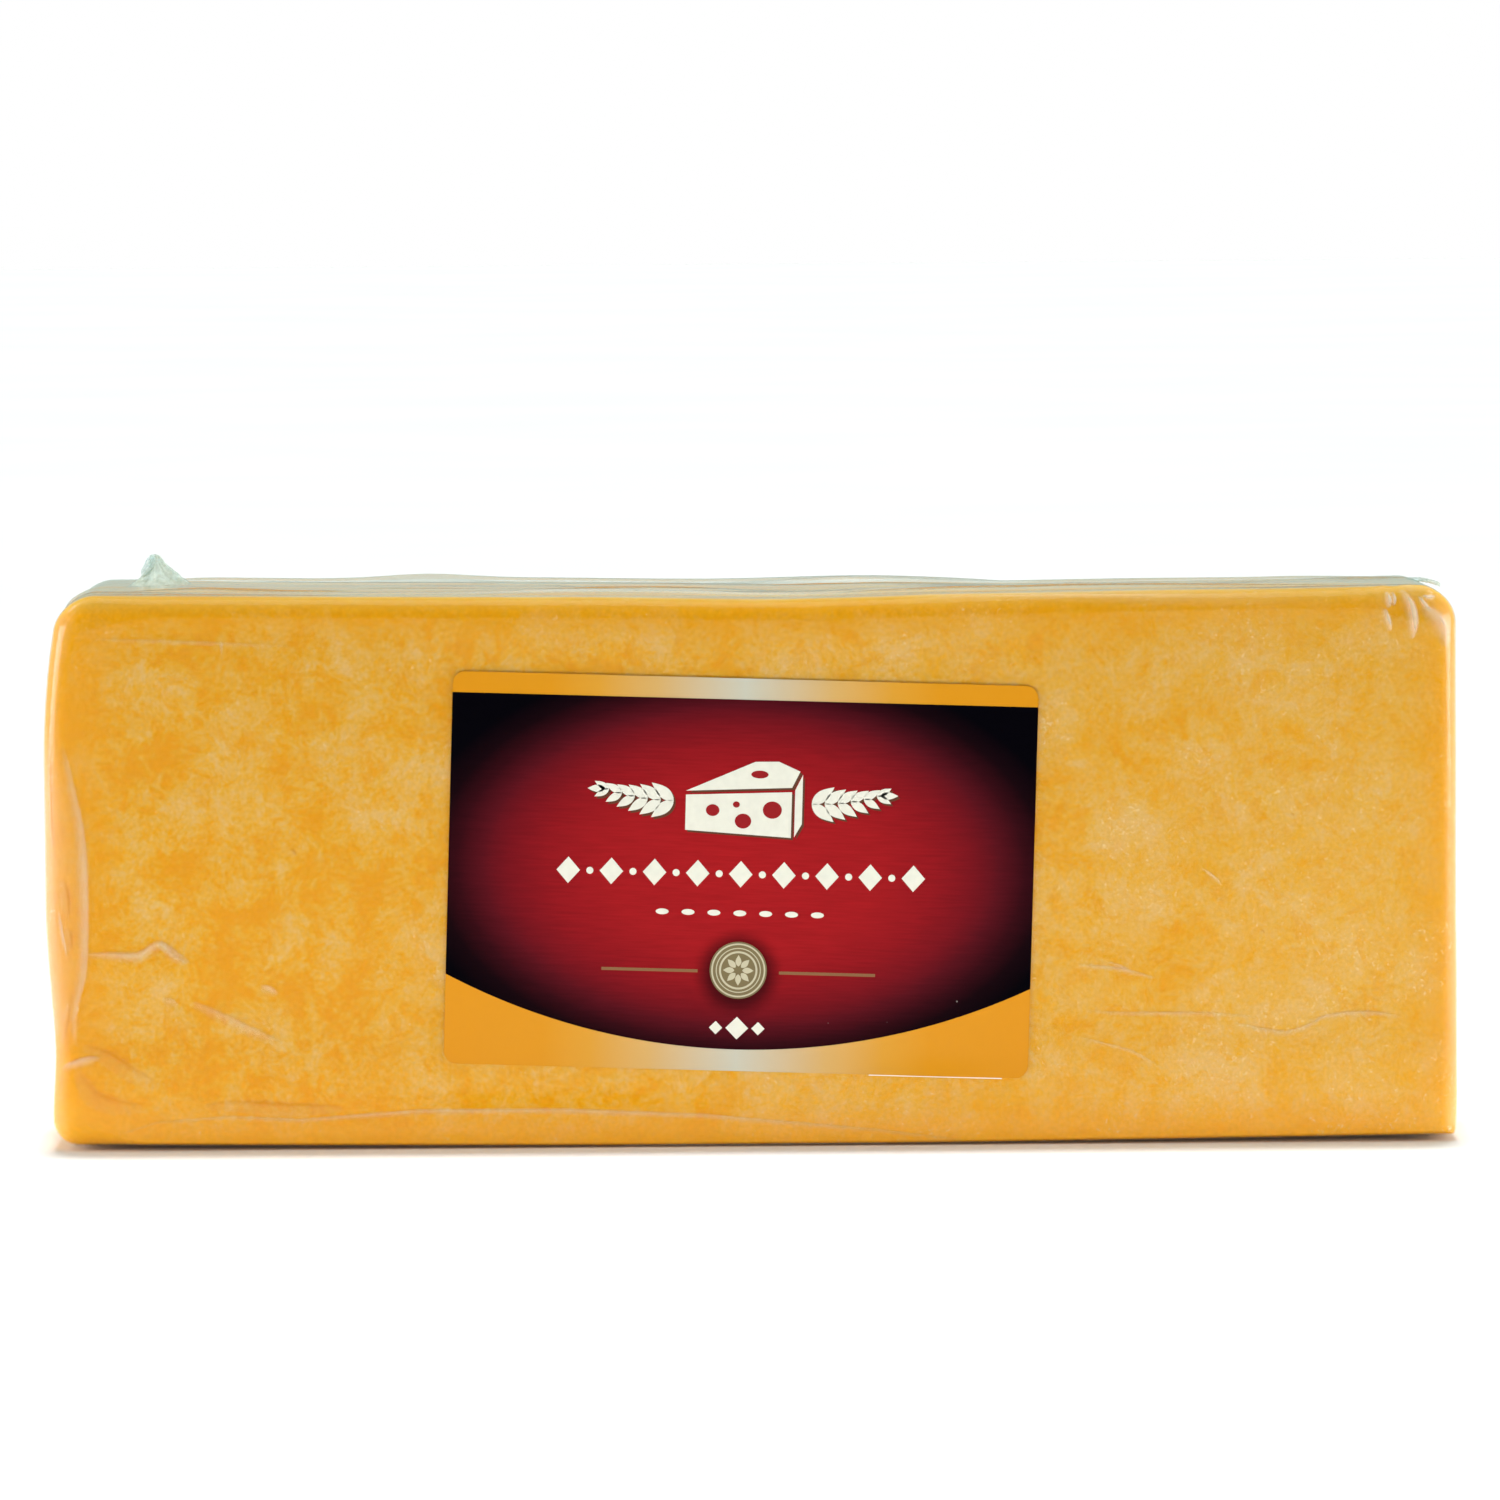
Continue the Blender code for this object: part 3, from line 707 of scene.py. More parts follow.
def tail_knot(material):
    """Curled end of the tail, which leans on the left of its tip."""

    def knot(angle, down):
        z = math.cos(down * math.pi)
        fold = 1 + KNOT_FOLD_DEPTH * math.cos(KNOT_FOLDS * angle + KNOT_TWIST * z)
        fold += KNOT_CREASE_DEPTH * math.cos(KNOT_CREASES * angle - 2 * KNOT_TWIST * z)
        width = math.sin(down * math.pi) * fold
        return (
            KNOT_SIZE[0] * width * math.cos(angle),
            KNOT_SIZE[1] * width * math.sin(angle),
            KNOT_SIZE[2] * z,
        )

    points, faces = turned_grid(KNOT_SIDES, KNOT_RINGS, knot)
    piece = mesh_piece("tail_knot", points, faces, material, [("gathered", np.ones(len(points)))])
    piece.location = Vector((*TENT_PLACE, TENT_TOP)) + Vector(KNOT_OFF)
    piece.rotation_euler = (0, KNOT_LEAN, 0)
    return piece


def film_ear(material):
    """Flap of welded film that stands out of the top corner and droops, ribbed by the sealing bars."""
    halves = (EAR_LENGTH / 2, EAR_WIDTH / 2, 0.5)
    cuts = [even_cuts(-half, half, EAR_CELL) for half in halves[:2]] + [[-0.5, 0.5]]
    points, faces = box_cage(cuts)
    out = points[:, 0] / EAR_LENGTH + 0.5
    y = points[:, 1] * mix(1.0, EAR_TIP_WIDTH, out * out)
    y = y * (1 - EAR_TIP_ROUND * ease(1 - EAR_TIP_RUN, 1.0, out))
    z = points[:, 2] * EAR_THICK * mix(EAR_ROOT_THICK, EAR_TIP_THICK, out)
    z = z + EAR_CROWN * np.sin(out * math.pi) - EAR_DROP * out * out
    z = z + EAR_RIB_HEIGHT * np.sin(points[:, 0] / EAR_RIBS * 2 * math.pi)
    z = z + EAR_WAVE * out * np.sin(points[:, 1] / EAR_WIDTH * EAR_WAVES * 2 * math.pi)
    middle = np.array((EAR_ROOT[0] + EAR_LENGTH / 2, EAR_ROOT[1], EAR_ROOT[2]))
    placed = np.stack([points[:, 0], y, z], axis=1) + middle
    return mesh_piece("film_ear", placed, faces, material, [("gathered", ease(*EAR_GATHERED, out))])


# Label


def on_label(piece):
    """Puts a piece made in the label's own frame, u, v and out of the paper, on the block."""
    piece.rotation_euler = (math.pi / 2, LABEL_TILT, 0)
    piece.location = (LABEL_PLACE[0], -HALF[1] - LABEL_SEAT, LABEL_PLACE[1])
    return piece


def label_lift(u, v):
    """How far the paper's lower edge has come away from the film."""
    return LIFT_HEIGHT * bell(u - LIFT_PLACE, LIFT_SPREAD) * ease(*LIFT_RISE, -v) ** 2


def ruled_sheet(name, columns, bottom, top, heights, material):
    """Closed sheet between a lower and an upper edge, each a function of u. heights: its back and face."""
    rows = round(LABEL_HEIGHT / LABEL_CELL)
    points = []
    for height in heights:
        for u in columns:
            for row in range(rows + 1):
                v = mix(bottom(u), top(u), row / rows)
                points.append((u, v, height + label_lift(u, v)))
    layer = len(columns) * (rows + 1)
    last = len(columns) - 1

    def at(column, row, face=0):
        return face * layer + column * (rows + 1) + row

    faces = []
    for c in range(last):
        for r in range(rows):
            face = (at(c, r, 1), at(c + 1, r, 1), at(c + 1, r + 1, 1), at(c, r + 1, 1))
            faces.append(face)
            faces.append(tuple(number - layer for number in reversed(face)))
        faces.append((at(c, 0), at(c + 1, 0), at(c + 1, 0, 1), at(c, 0, 1)))
        faces.append((at(c, rows, 1), at(c + 1, rows, 1), at(c + 1, rows), at(c, rows)))
    for r in range(rows):
        faces.append((at(0, r, 1), at(0, r + 1, 1), at(0, r + 1), at(0, r)))
        faces.append((at(last, r), at(last, r + 1), at(last, r + 1, 1), at(last, r, 1)))
    piece = mesh_piece(name, points, faces, material)
    piece.data.set_sharp_from_angle(angle=LABEL_SHARP)
    return on_label(piece)


def label_columns():
    """Places along u: close together in the round corners, and even between them."""
    half = LABEL_WIDTH / 2
    inner = half - LABEL_CORNER
    steps = 8
    corner = [inner + LABEL_CORNER * math.sin(k / steps * math.pi / 2) for k in range(1, steps + 1)]
    return [-u for u in reversed(corner)] + even_cuts(-inner, inner, LABEL_CELL) + corner


def label_paper(material):
    def edge(u):
        inside = max(abs(u) - (LABEL_WIDTH / 2 - LABEL_CORNER), 0.0)
        return LABEL_HEIGHT / 2 - LABEL_CORNER + math.sqrt(max(LABEL_CORNER**2 - inside**2, 0.0))

    return ruled_sheet("label_paper", label_columns(), lambda u: -edge(u), edge, (0.0, LABEL_THICK), material)


def label_panel(material):
    """Dark red panel over the full width of the label, with a lower edge that is an arc."""
    arc = PANEL_ARC * MM

    def lower(u):
        return PANEL_LOWEST * MM + arc - math.sqrt(arc * arc - u * u)

    columns = even_cuts(-LABEL_WIDTH / 2, LABEL_WIDTH / 2, LABEL_CELL)
    return ruled_sheet("label_panel", columns, lower, lambda u: PANEL_TOP * MM, PANEL_INK, material)


def turned(points, u, v, turn):
    """Points turned about the origin, then moved to (u, v)."""
    c, s = math.cos(turn), math.sin(turn)
    return [(u + x * c - y * s, v + x * s + y * c) for x, y in points]


def circle(u, v, radius, sides=CIRCLE_SIDES, wide=1.0):
    """Outline of a circle, or of an ellipse where wide isn't 1, anticlockwise, in millimetres."""
    angles = [2 * math.pi * k / sides for k in range(sides)]
    return [(u + radius * wide * math.cos(angle), v + radius * math.sin(angle)) for angle in angles]


def lozenge(u, v, half_width, half_height):
    return [(u + half_width, v), (u, v + half_height), (u - half_width, v), (u, v - half_height)]


def leaf(u, v, length, width, turn):
    """Pointed leaf from (u, v), anticlockwise."""
    steps = [k / LEAF_STEPS for k in range(LEAF_STEPS + 1)]
    side = [(length * t, width / 2 * math.sin(math.pi * t**0.8)) for t in steps]
    return turned([(x, -y) for x, y in side] + side[-2:0:-1], u, v, turn)


def printed(name, outlines, ink, material, rings=()):
    """Thin raised print on the label, in millimetres: outlines, and rings round the middle of the medal."""
    mesh = bmesh.new()

    def loop(outline, height):
        return [mesh.verts.new((u * MM, v * MM, height)) for u, v in outline]

    for outline in outlines:
        low, high = [loop(outline, height) for height in ink]
        mesh.faces.new(high)
        mesh.faces.new(low[::-1])
        for k in range(len(outline)):
            after = (k + 1) % len(outline)
            mesh.faces.new((low[k], low[after], high[after], high[k]))
    for inner, outer in rings:
        corners = ((inner, ink[0]), (outer, ink[0]), (outer, ink[1]), (inner, ink[1]))
        loops = [loop(circle(0, MEDAL_PLACE, radius), height) for radius, height in corners]
        for k in range(CIRCLE_SIDES):
            after = (k + 1) % CIRCLE_SIDES
            for here, there in zip(loops, loops[1:] + loops[:1]):
                mesh.faces.new((here[k], here[after], there[after], there[k]))
    bmesh.ops.recalc_face_normals(mesh, faces=mesh.faces[:])
    data = bpy.data.meshes.new(name)
    mesh.to_mesh(data)
    mesh.free()
    data.materials.append(material)
    return on_label(in_scene(name, data))


def moved(outlines, du, dv):
    return [[(u + du, v + dv) for u, v in outline] for outline in outlines]


def wedge_emblem():
    """Outlines of a plain wedge of cheese, its top and its cut side parted by a gap, and of its holes."""
    v = EMBLEM_PLACE
    top = [(-14.5, v + 1.6), (12.5, v + 3.0), (14.5, v + 7.2), (9.0, v + 9.6), (3.0, v + 9.4)]
    side = [(-14.5, v - 8.4), (12.5, v - 9.8), (12.5, v + 1.9), (-14.5, v + 0.6)]
    rind = [(13.3, v - 9.6), (15.2, v - 6.2), (15.2, v + 6.4), (13.3, v + 2.4)]
    holes = (
        (-7.6, -3.2, 1.5, 1.15), (0.2, -5.8, 1.9, 1.1), (7.6, -2.8, 2.2, 1.1), (-1.6, -1.6, 0.8, 1.1),
        (4.2, 6.2, 1.0, 2.2),
    )
    return [top, side, rind], [circle(u, v + up, radius, wide=wide) for u, up, radius, wide in holes]


def leaf_sprays():
    """Outlines of a spray of leaves on each side of the emblem."""
    outlines = []
    for side in (-1, 1):
        for k in range(6):
            u = 17.6 + 3.3 * k
            v = EMBLEM_PLACE - 1.0 + 0.10 * k * k
            for up in (-1, 1):
                turn = up * math.radians(38 - 2 * k)
                if side < 0:
                    turn = math.pi - turn
                outlines.append(leaf(side * u, v, 7.2 - 0.60 * k, 2.9 - 0.24 * k, turn))
        outlines.append(leaf(side * 35.0, EMBLEM_PLACE + 1.6, 4.6, 1.9, 0 if side > 0 else math.pi))
    return outlines


def lozenge_rows():
    """Row of lozenges and dots, a row of small ones under it, and three at the foot of the panel."""
    large = [lozenge(k * 11.0, ROW_PLACE, 3.0, 3.4) for k in range(-4, 5)]
    dots = [circle(k * 11.0 + 5.5, ROW_PLACE, 0.9, sides=24) for k in range(-4, 4)]
    small = [circle(k * 6.6, SMALL_ROW_PLACE, 0.75, sides=24, wide=2.2) for k in range(-3, 4)]
    foot = [lozenge(k * 5.4, FOOT_MARK_PLACE, size, size) for k, size in ((-1, 1.7), (0, 2.9), (1, 1.7))]
    return large + dots + small + foot


def lifted_edge_glint():
    """Outline of a white line along the lower edge where the paper has come away: a painted glint of that
    edge.
    """
    draw = random.Random(GLINT_SEED)
    places = np.linspace(*GLINT_SPAN, GLINT_STEPS)
    foot = -LABEL_HEIGHT / 2 / MM
    taper = [math.sin(math.pi * k / (GLINT_STEPS - 1)) ** 0.5 for k in range(GLINT_STEPS)]
    upper = [(u, foot + GLINT_WIDTH * draw.uniform(0.2, 1.4) * t) for u, t in zip(places, taper)]
    return [(u, foot - GLINT_DROP) for u in places] + upper[::-1]


# Materials


def linear(code):
    """Linear colour of an sRGB hex value."""
    values = [int(code[k : k + 2], 16) / 255 for k in (1, 3, 5)]
    return tuple(v / 12.92 if v <= 0.04045 else ((v + 0.055) / 1.055) ** 2.4 for v in values) + (1.0,)


def add_node(tree, kind, inputs=None, stops=None, **settings):
    """Adds a node. inputs are values, sockets, or nodes for their first output, by name or number. stops are
    a ramp's (place, hex colour)."""
    made = tree.nodes.new("ShaderNode" + kind)
    for name, value in settings.items():
        setattr(made, name, value)
    for place, value in (inputs or {}).items():
        if isinstance(value, bpy.types.Node):
            value = value.outputs[0]
        if isinstance(value, bpy.types.NodeSocket):
            tree.links.new(value, made.inputs[place])
        else:
            made.inputs[place].default_value = value
    if stops:
        elements = made.color_ramp.elements
        while len(elements) < len(stops):
            elements.new(1.0)
        for element, (place, code) in zip(elements, stops):
            element.position = place
            element.color = linear(code)
    return made


def new_material(name):
    """An empty material, the function that adds nodes to it, and places on the piece in metres."""
    material = bpy.data.materials.new(name)
    material.use_nodes = True
    material.node_tree.nodes.clear()
    node = partial(add_node, material.node_tree)
    return material, node, node("TexCoord").outputs["Object"]


def blend(node, share, first, second, **settings):
    """Colour that goes from the first to the second with the share."""
    return node("Mix", {0: share, 6: first, 7: second}, data_type="RGBA", **settings).outputs[2]


def times(node, colour, light):
    return blend(node, 1.0, colour, light, blend_type="MULTIPLY")


def mark(node, name):
    """A mark of the piece, as mesh_piece gives it."""
    return node("Attribute", attribute_name=name).outputs["Fac"]


def annatto_cheddar():
    """Red cheddar: pressed curd dyed with annatto. Pale milky clots in a more saturated body, 2 mm to 2 cm
    across, with fuzzy darker veins round them. Wet under its film, it has no gloss of its own, and light goes
    a few mm into it, which softens its edges."""
    material, node, place = new_material("annatto_cheddar")
    # Clots are stirred by a slower flow, 14 mm wide, that moves them by up to 4 mm
    flow = node("TexNoise", {"Vector": place, "Scale": 1 / 0.014, "Detail": 4.0})
    shift = node("VectorMath", {0: flow.outputs["Color"], 1: (0.5, 0.5, 0.5)}, operation="SUBTRACT")
    step = node("VectorMath", {0: shift, "Scale": 0.008}, operation="SCALE")
    stirred = node("VectorMath", {0: place, 1: step})
    patches, clots, crumbs = [
        node("TexNoise", {"Vector": stirred, "Scale": 1 / size, "Detail": detail, "Roughness": rough})
        for size, detail, rough in ((0.019, 7.0, 0.66), (0.0060, 6.0, 0.74), (0.0020, 4.0, 0.75))
    ]
    both = node("Mix", {0: 0.45, 2: patches, 3: clots})
    both = node("Mix", {0: 0.27, 2: both, 3: crumbs})
    # The right half is paler than the left
    side = node("SeparateXYZ", {0: place}).outputs["X"]
    sides = {"Value": side, 1: -HALF[0], 2: HALF[0]}
    paler = node("MapRange", {**sides, 3: -0.030, 4: 0.030})
    both = node("Math", {0: both, 1: paler}, operation="ADD")
    # and less marbled
    gain = node("MapRange", {**sides, 3: 1.55, 4: 0.95})
    off = node("Math", {0: both, 1: 0.5}, operation="SUBTRACT")
    both = node("Math", {0: off, 1: gain, 2: 0.5}, operation="MULTIPLY_ADD")
    marbling = ((0.38, "#E39B06"), (0.45, "#E2A41C"), (0.50, "#E1A93A"), (0.55, "#E0AD4C"), (0.62, "#DFB265"))
    body = node("ValToRGB", {0: both}, stops=marbling)
    # Veins 1.5 mm wide: where another noise crosses its middle value
    veins = node("TexNoise", {"Vector": stirred, "Scale": 1 / 0.012, "Detail": 5.0, "Roughness": 0.6})
    veins = node("Math", {0: veins, 1: 0.5}, operation="SUBTRACT")
    veins = node("Math", {0: veins}, operation="ABSOLUTE")
    veins = node("MapRange", {"Value": veins, 1: 0.0, 2: 0.06, 3: 1.0, 4: 0.0})
    broken = node("MapRange", {"Value": clots, 1: 0.56, 2: 0.40, 3: 0.0, 4: 0.45})
    veins = node("Math", {0: veins, 1: broken}, operation="MULTIPLY")
    body = blend(node, veins, body, linear("#E09812"))
    # Its edges, which dry first, are more saturated. Their colour by height is partly painted light: lighter
    # along the foot, and paler and duller along the top, against the stronger light from above
    edge = mark(node, "edge")
    edge = node("Math", {0: edge, 1: 0.85}, operation="MULTIPLY")
    height = node("SeparateXYZ", {0: place}).outputs["Z"]
    share = node("MapRange", {"Value": height, 1: 0.0, 2: HEIGHT})
    rim_stops = ((0.04, "#F3AA2A"), (0.12, "#E69D10"), (0.975, "#ECA316"), (0.997, "#D8A43A"))
    rim = node("ValToRGB", {0: share}, stops=rim_stops)
    body = blend(node, edge, body, rim)
    # The lowest centimetre is painted lighter: painted light that makes up for the shade left by the shadow
    # on the floor in front of it
    light = node("MapRange", {"Value": height, 1: 0.026, 2: 0.012, 3: 1.0, 4: 1.12})
    body = times(node, body, light)
    # Grain of 0.9 mm, and irregular white specks of air under the film, more of them on the right
    grain = node("TexNoise", {"Vector": place, "Scale": 1 / 0.0009, "Detail": 3.0})
    dim = node("MapRange", {"Value": grain, 1: 0.3, 2: 0.7, 3: 0.94, 4: 1.05})
    body = times(node, body, dim)
    air = node("TexNoise", {"Vector": place, "Scale": 1 / 0.0011, "Detail": 3.0, "Distortion": 1.0})
    air = node("Mix", {0: 0.35, 2: air, 3: patches})
    air = node("Math", {0: air, 1: paler}, operation="ADD")
    air = node("MapRange", {"Value": air, 1: 0.62, 2: 0.68, 4: 0.42})
    body = blend(node, air, body, linear("#F2DCA6"))
    relief = node("Math", {0: clots, 1: veins}, operation="SUBTRACT")
    bump = node("Bump", {"Height": relief, "Strength": 0.2, "Distance": 0.0003})
    looks = {
        "Base Color": body, "Roughness": 0.5, "IOR": 1.45, "Specular IOR Level": 0.0, "Normal": bump,
        "Subsurface Weight": 0.25, "Subsurface Radius": (1.0, 0.45, 0.10), "Subsurface Scale": 0.002,
    }
    shader = node("BsdfPrincipled", looks)
    node("OutputMaterial", {"Surface": shader})
    return material


def gloss_share(node, normal, power):
    """What a smooth face mirrors, by Schlick's rule: little head on, where film wetted by cheese has only its
    outer face, and all of it edge on. Loose layers mirror more at a slant, which a lower power stands for."""
    facing = node("LayerWeight", {"Blend": 0.5, "Normal": normal}).outputs["Facing"]
    steep = node("Math", {0: facing, 1: power}, operation="POWER")
    return node("Math", {0: steep, 1: 0.98, 2: 0.02}, operation="MULTIPLY_ADD")


def shrink_film():
    """Barrier shrink film, polyethylene and PVDC, shrunk on in hot water: clear and glossy, with fine shrink
    wrinkles, and milky where a fold lifts it off the cheese or the sealing bars have pressed it."""
    material, node, place = new_material("shrink_film")
    slack = mark(node, "slack")
    weld = mark(node, "weld")
    # Wrinkles 3.5 mm apart that run along the block, and ripples of 9 mm
    longways = node("Mapping", {0: place, "Scale": (0.25, 1.0, 1.0)})
    wrinkles = node("TexNoise", {"Vector": longways, "Scale": 1 / 0.0035, "Detail": 3.0, "Distortion": 0.6})
    ripples = node("TexNoise", {"Vector": place, "Scale": 1 / 0.009, "Detail": 2.0})
    height = node("Mix", {0: 0.6, 2: wrinkles, 3: ripples})
    # Ribs of the sealing bars, 1.2 mm apart
    ribs = node(
        "TexWave", {"Vector": place, "Scale": 2 * math.pi / 20 / 0.0012}, bands_direction="Y"
    ).outputs["Fac"]
    ribs = node("Math", {0: ribs, 1: weld}, operation="MULTIPLY")
    height = node("Math", {0: height, 1: ribs}, operation="ADD")
    bump = node("Bump", {"Height": height, "Strength": 0.35, "Distance": 0.0005})
    # Milk from the slack mark is partly a painted highlight, on the rolls beside the front and on the
    # left-hand roll
    milky = node("MapRange", {"Value": slack, 1: 0.05, 2: 2.0, 3: 0.0, 4: 0.70})
    folded = mark(node, "milk")
    milky = node("Math", {0: folded, 1: 0.38, 2: milky}, operation="MULTIPLY_ADD", use_clamp=True)
    pressed = node("Math", {0: weld, 1: 0.10, 2: milky}, operation="MULTIPLY_ADD")
    # Light that a fold turns aside leaves a deeper orange line beside it, here painted shade: a deeper tint
    # of what the film lets through
    shade = mark(node, "shade")
    through = blend(node, shade, linear("#FDFEFD"), linear("#F4E0C4"))
    clear = node("BsdfTransparent", {"Color": through})
    milk = node("BsdfDiffuse", {"Color": linear("#F1F3EA"), "Normal": bump})
    body = node("MixShader", {0: pressed, 1: clear, 2: milk})
    gloss = node("BsdfAnisotropic", {"Color": linear("#FFFFFF"), "Roughness": 0.16, "Normal": bump})
    power = node("MapRange", {"Value": slack, 1: 0.0, 2: 0.4, 3: 5.0, 4: 2.4})
    shader = node("MixShader", {0: gloss_share(node, bump, power), 1: body, 2: gloss})
    node("OutputMaterial", {"Surface": shader})
    return material


def gathered_film(name, tint, rim, thickness):
    """The same film in many layers, crumpled or welded: each layer sends back a little light, so that
    together they look pale blue-green and milky. The rim colour, greyer where they are seen edge on, is
    painted shade for the light their edges turn aside. thickness is how much of what is behind them they
    hide. Pressed on to a ridge of curd, it takes the curd's colour."""
    material, node, place = new_material(name)
    # Crumples of 2 mm
    crumple = node("TexNoise", {"Vector": place, "Scale": 1 / 0.0022, "Detail": 2.0, "Distortion": 1.5})
    bump = node("Bump", {"Height": crumple, "Strength": 0.5, "Distance": 0.0008})
    layers = {"Value": crumple, 1: 0.35, 2: 0.65, 3: thickness - 0.25, 4: thickness + 0.1}
    layers = node("MapRange", layers)
    facing = node("LayerWeight", {"Blend": 0.4}).outputs["Facing"]
    hidden = node("Math", {0: facing, 1: 0.35, 2: layers}, operation="MULTIPLY_ADD", use_clamp=True)
    # The gathers open out into single film at their foot
    whole = mark(node, "gathered")
    hidden = node("Math", {0: hidden, 1: whole}, operation="MULTIPLY")
    # Colour at the rim, seen edge on: painted shade
    tone = node("ValToRGB", {0: facing}, stops=((0.35, tint), (0.95, rim)))
    milk = node("BsdfDiffuse", {"Color": tone, "Normal": bump})
    glow = node("BsdfTranslucent", {"Color": tone, "Normal": bump})
    solid = node("MixShader", {0: 0.4, 1: milk, 2: glow})
    clear = node("BsdfTransparent", {"Color": linear("#F2FBFA")})
    body = node("MixShader", {0: hidden, 1: clear, 2: solid})
    gloss = node("BsdfAnisotropic", {"Color": linear("#FFFFFF"), "Roughness": 0.10, "Normal": bump})
    shader = node("MixShader", {0: gloss_share(node, bump, 3.5), 1: body, 2: gloss})
    node("OutputMaterial", {"Surface": shader})
    return material


def print_shader(node, colour, roughness, level):
    """Coated label paper under ink: a fine tooth that breaks up its gloss. It is drawn 0.4 mm wide, because
    the real one, of under 0.1 mm, is too fine to show."""
    place = node("TexCoord").outputs["Object"]
    tooth = node("TexNoise", {"Vector": place, "Scale": 1 / 0.0004, "Detail": 2.0})
    uneven = node("MapRange", {"Value": tooth, 3: roughness - 0.06, 4: roughness + 0.06})
    bump = node("Bump", {"Height": tooth, "Strength": 0.15, "Distance": 0.00005})
    looks = {"Base Color": colour, "Roughness": uneven, "Specular IOR Level": level, "Normal": bump}
    shader = node("BsdfPrincipled", looks)
    node("OutputMaterial", {"Surface": shader})


def amber_coated_paper():
    """Coated label paper printed amber, with a silvery sheen printed across the middle of its two strips."""
    material, node, place = new_material("amber_coated_paper")
    u = node("SeparateXYZ", {0: place}).outputs["X"]
    off = node("Math", {0: u}, operation="ABSOLUTE")
    share = node("MapRange", {"Value": off, 2: 0.075})
    sheen = (
        (0.0, "#C6C4B3"), (0.13, "#CCB997"), (0.30, "#D4AA65"), (0.50, "#D99B2E"), (0.66, "#DA9210"),
        (1.0, "#DA9008"),
    )
    ground = node("ValToRGB", {0: share}, stops=sheen)
    print_shader(node, ground, 0.32, 0.15)
    return material


def red_panel_ink():
    """Offset ink, satin: bright red in the middle that falls off to black in the corners, with a fine
    lengthwise brushed pattern of lines 0.5 mm apart and a few specks of dust."""
    material, node, place = new_material("red_panel_ink")
    # Distance from the middle of the glow, in half widths and half heights of its ellipse
    half = (0.080, 0.050)
    scale = (1 / half[0], 1 / half[1], 0.0)
    off = node("Mapping", {0: place, 1: (0.0, -0.002 / half[1], 0.0), "Scale": scale})
    far = node("VectorMath", {0: off}, operation="LENGTH").outputs["Value"]
    far = node("MapRange", {"Value": far, 2: 1.1})
    fall = (
        (0.0, "#A31C20"), (0.40, "#9C1A1F"), (0.56, "#8A161D"), (0.67, "#73131C"), (0.75, "#54101A"),
        (0.82, "#340912"), (0.89, "#15040A"), (0.97, "#020106"),
    )
    glow = node("ValToRGB", {0: far}, stops=fall)
    brushed = node("Mapping", {0: place, "Scale": (0.06, 1.0, 1.0)})
    lines = node("TexNoise", {"Vector": brushed, "Scale": 1 / 0.0005, "Detail": 2.0})
    lines = node("MapRange", {"Value": lines, 1: 0.3, 2: 0.7, 3: 0.90, 4: 1.09})
    glow = times(node, glow, lines)
    # Soft shadow printed round the medal, a little below it
    middle = (0.0, (MEDAL_PLACE - 0.8) * MM, LABEL_THICK)
    medal = node("VectorMath", {0: place, 1: middle}, operation="DISTANCE").outputs["Value"]
    reach = MEDAL_RADIUS * MM
    shade = {"Value": medal, 1: reach * 0.9, 2: reach * 1.7, 3: 0.75, 4: 0.0}
    shade = node("MapRange", shade, interpolation_type="SMOOTHSTEP")
    glow = blend(node, shade, glow, linear("#12040A"))
    dust = node("TexVoronoi", {"Vector": place, "Scale": 1 / 0.008})
    near = node("MapRange", {"Value": dust.outputs["Distance"], 1: 0.032, 2: 0.016})
    few = node("SeparateColor", {0: dust.outputs["Color"]})
    few = node("MapRange", {"Value": few, 1: 0.78, 2: 0.80, 4: 0.5})
    near = node("Math", {0: near, 1: few}, operation="MULTIPLY")
    glow = blend(node, near, glow, linear("#B9B4AE"))
    print_shader(node, glow, 0.38, 0.02)
    return material


def ink(name, code, roughness=0.4, level=0.2):
    """Offset ink printed flat in one colour, a little uneven over 2 mm as it takes on the paper."""
    material, node, place = new_material(name)
    take = node("TexNoise", {"Vector": place, "Scale": 1 / 0.002, "Detail": 3.0})
    dim = node("MapRange", {"Value": take, 1: 0.3, 2: 0.7, 3: 0.94, 4: 1.0})
    colour = times(node, linear(code), dim)
    print_shader(node, colour, roughness, level)
    return material


# Pieces


def place_piece(piece, part):
    """Puts a piece in the place of a part of the solids, and hides that part."""
    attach(piece, "root")
    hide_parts(part)


def build_pack():
    film = shrink_film()
    crumpled = gathered_film("crumpled_film", "#E6F4EC", "#A6BAB2", 0.56)
    welded = gathered_film("welded_film", "#EDF3EC", "#AEBBAE", 0.55)
    bag = film_bag(film)
    curd = gathered_film("film_on_curd", "#D99C3C", "#CDA35A", 0.85)
    for piece in (
        cheese_block(annatto_cheddar()),
        bag,
        laid_folds("curd_ridges", TOP_RIDGES, False, bag, curd),
        laid_folds("front_folds", FRONT_FOLDS, True, bag, film),
        laid_folds("top_folds", TOP_FOLDS, False, bag, film),
        film_tail(crumpled),
        tail_knot(gathered_film("curled_film", "#EFFAFF", "#C3D8DC", 0.50)),
        film_ear(welded),
    ):
        place_piece(piece, "sealed_bag")


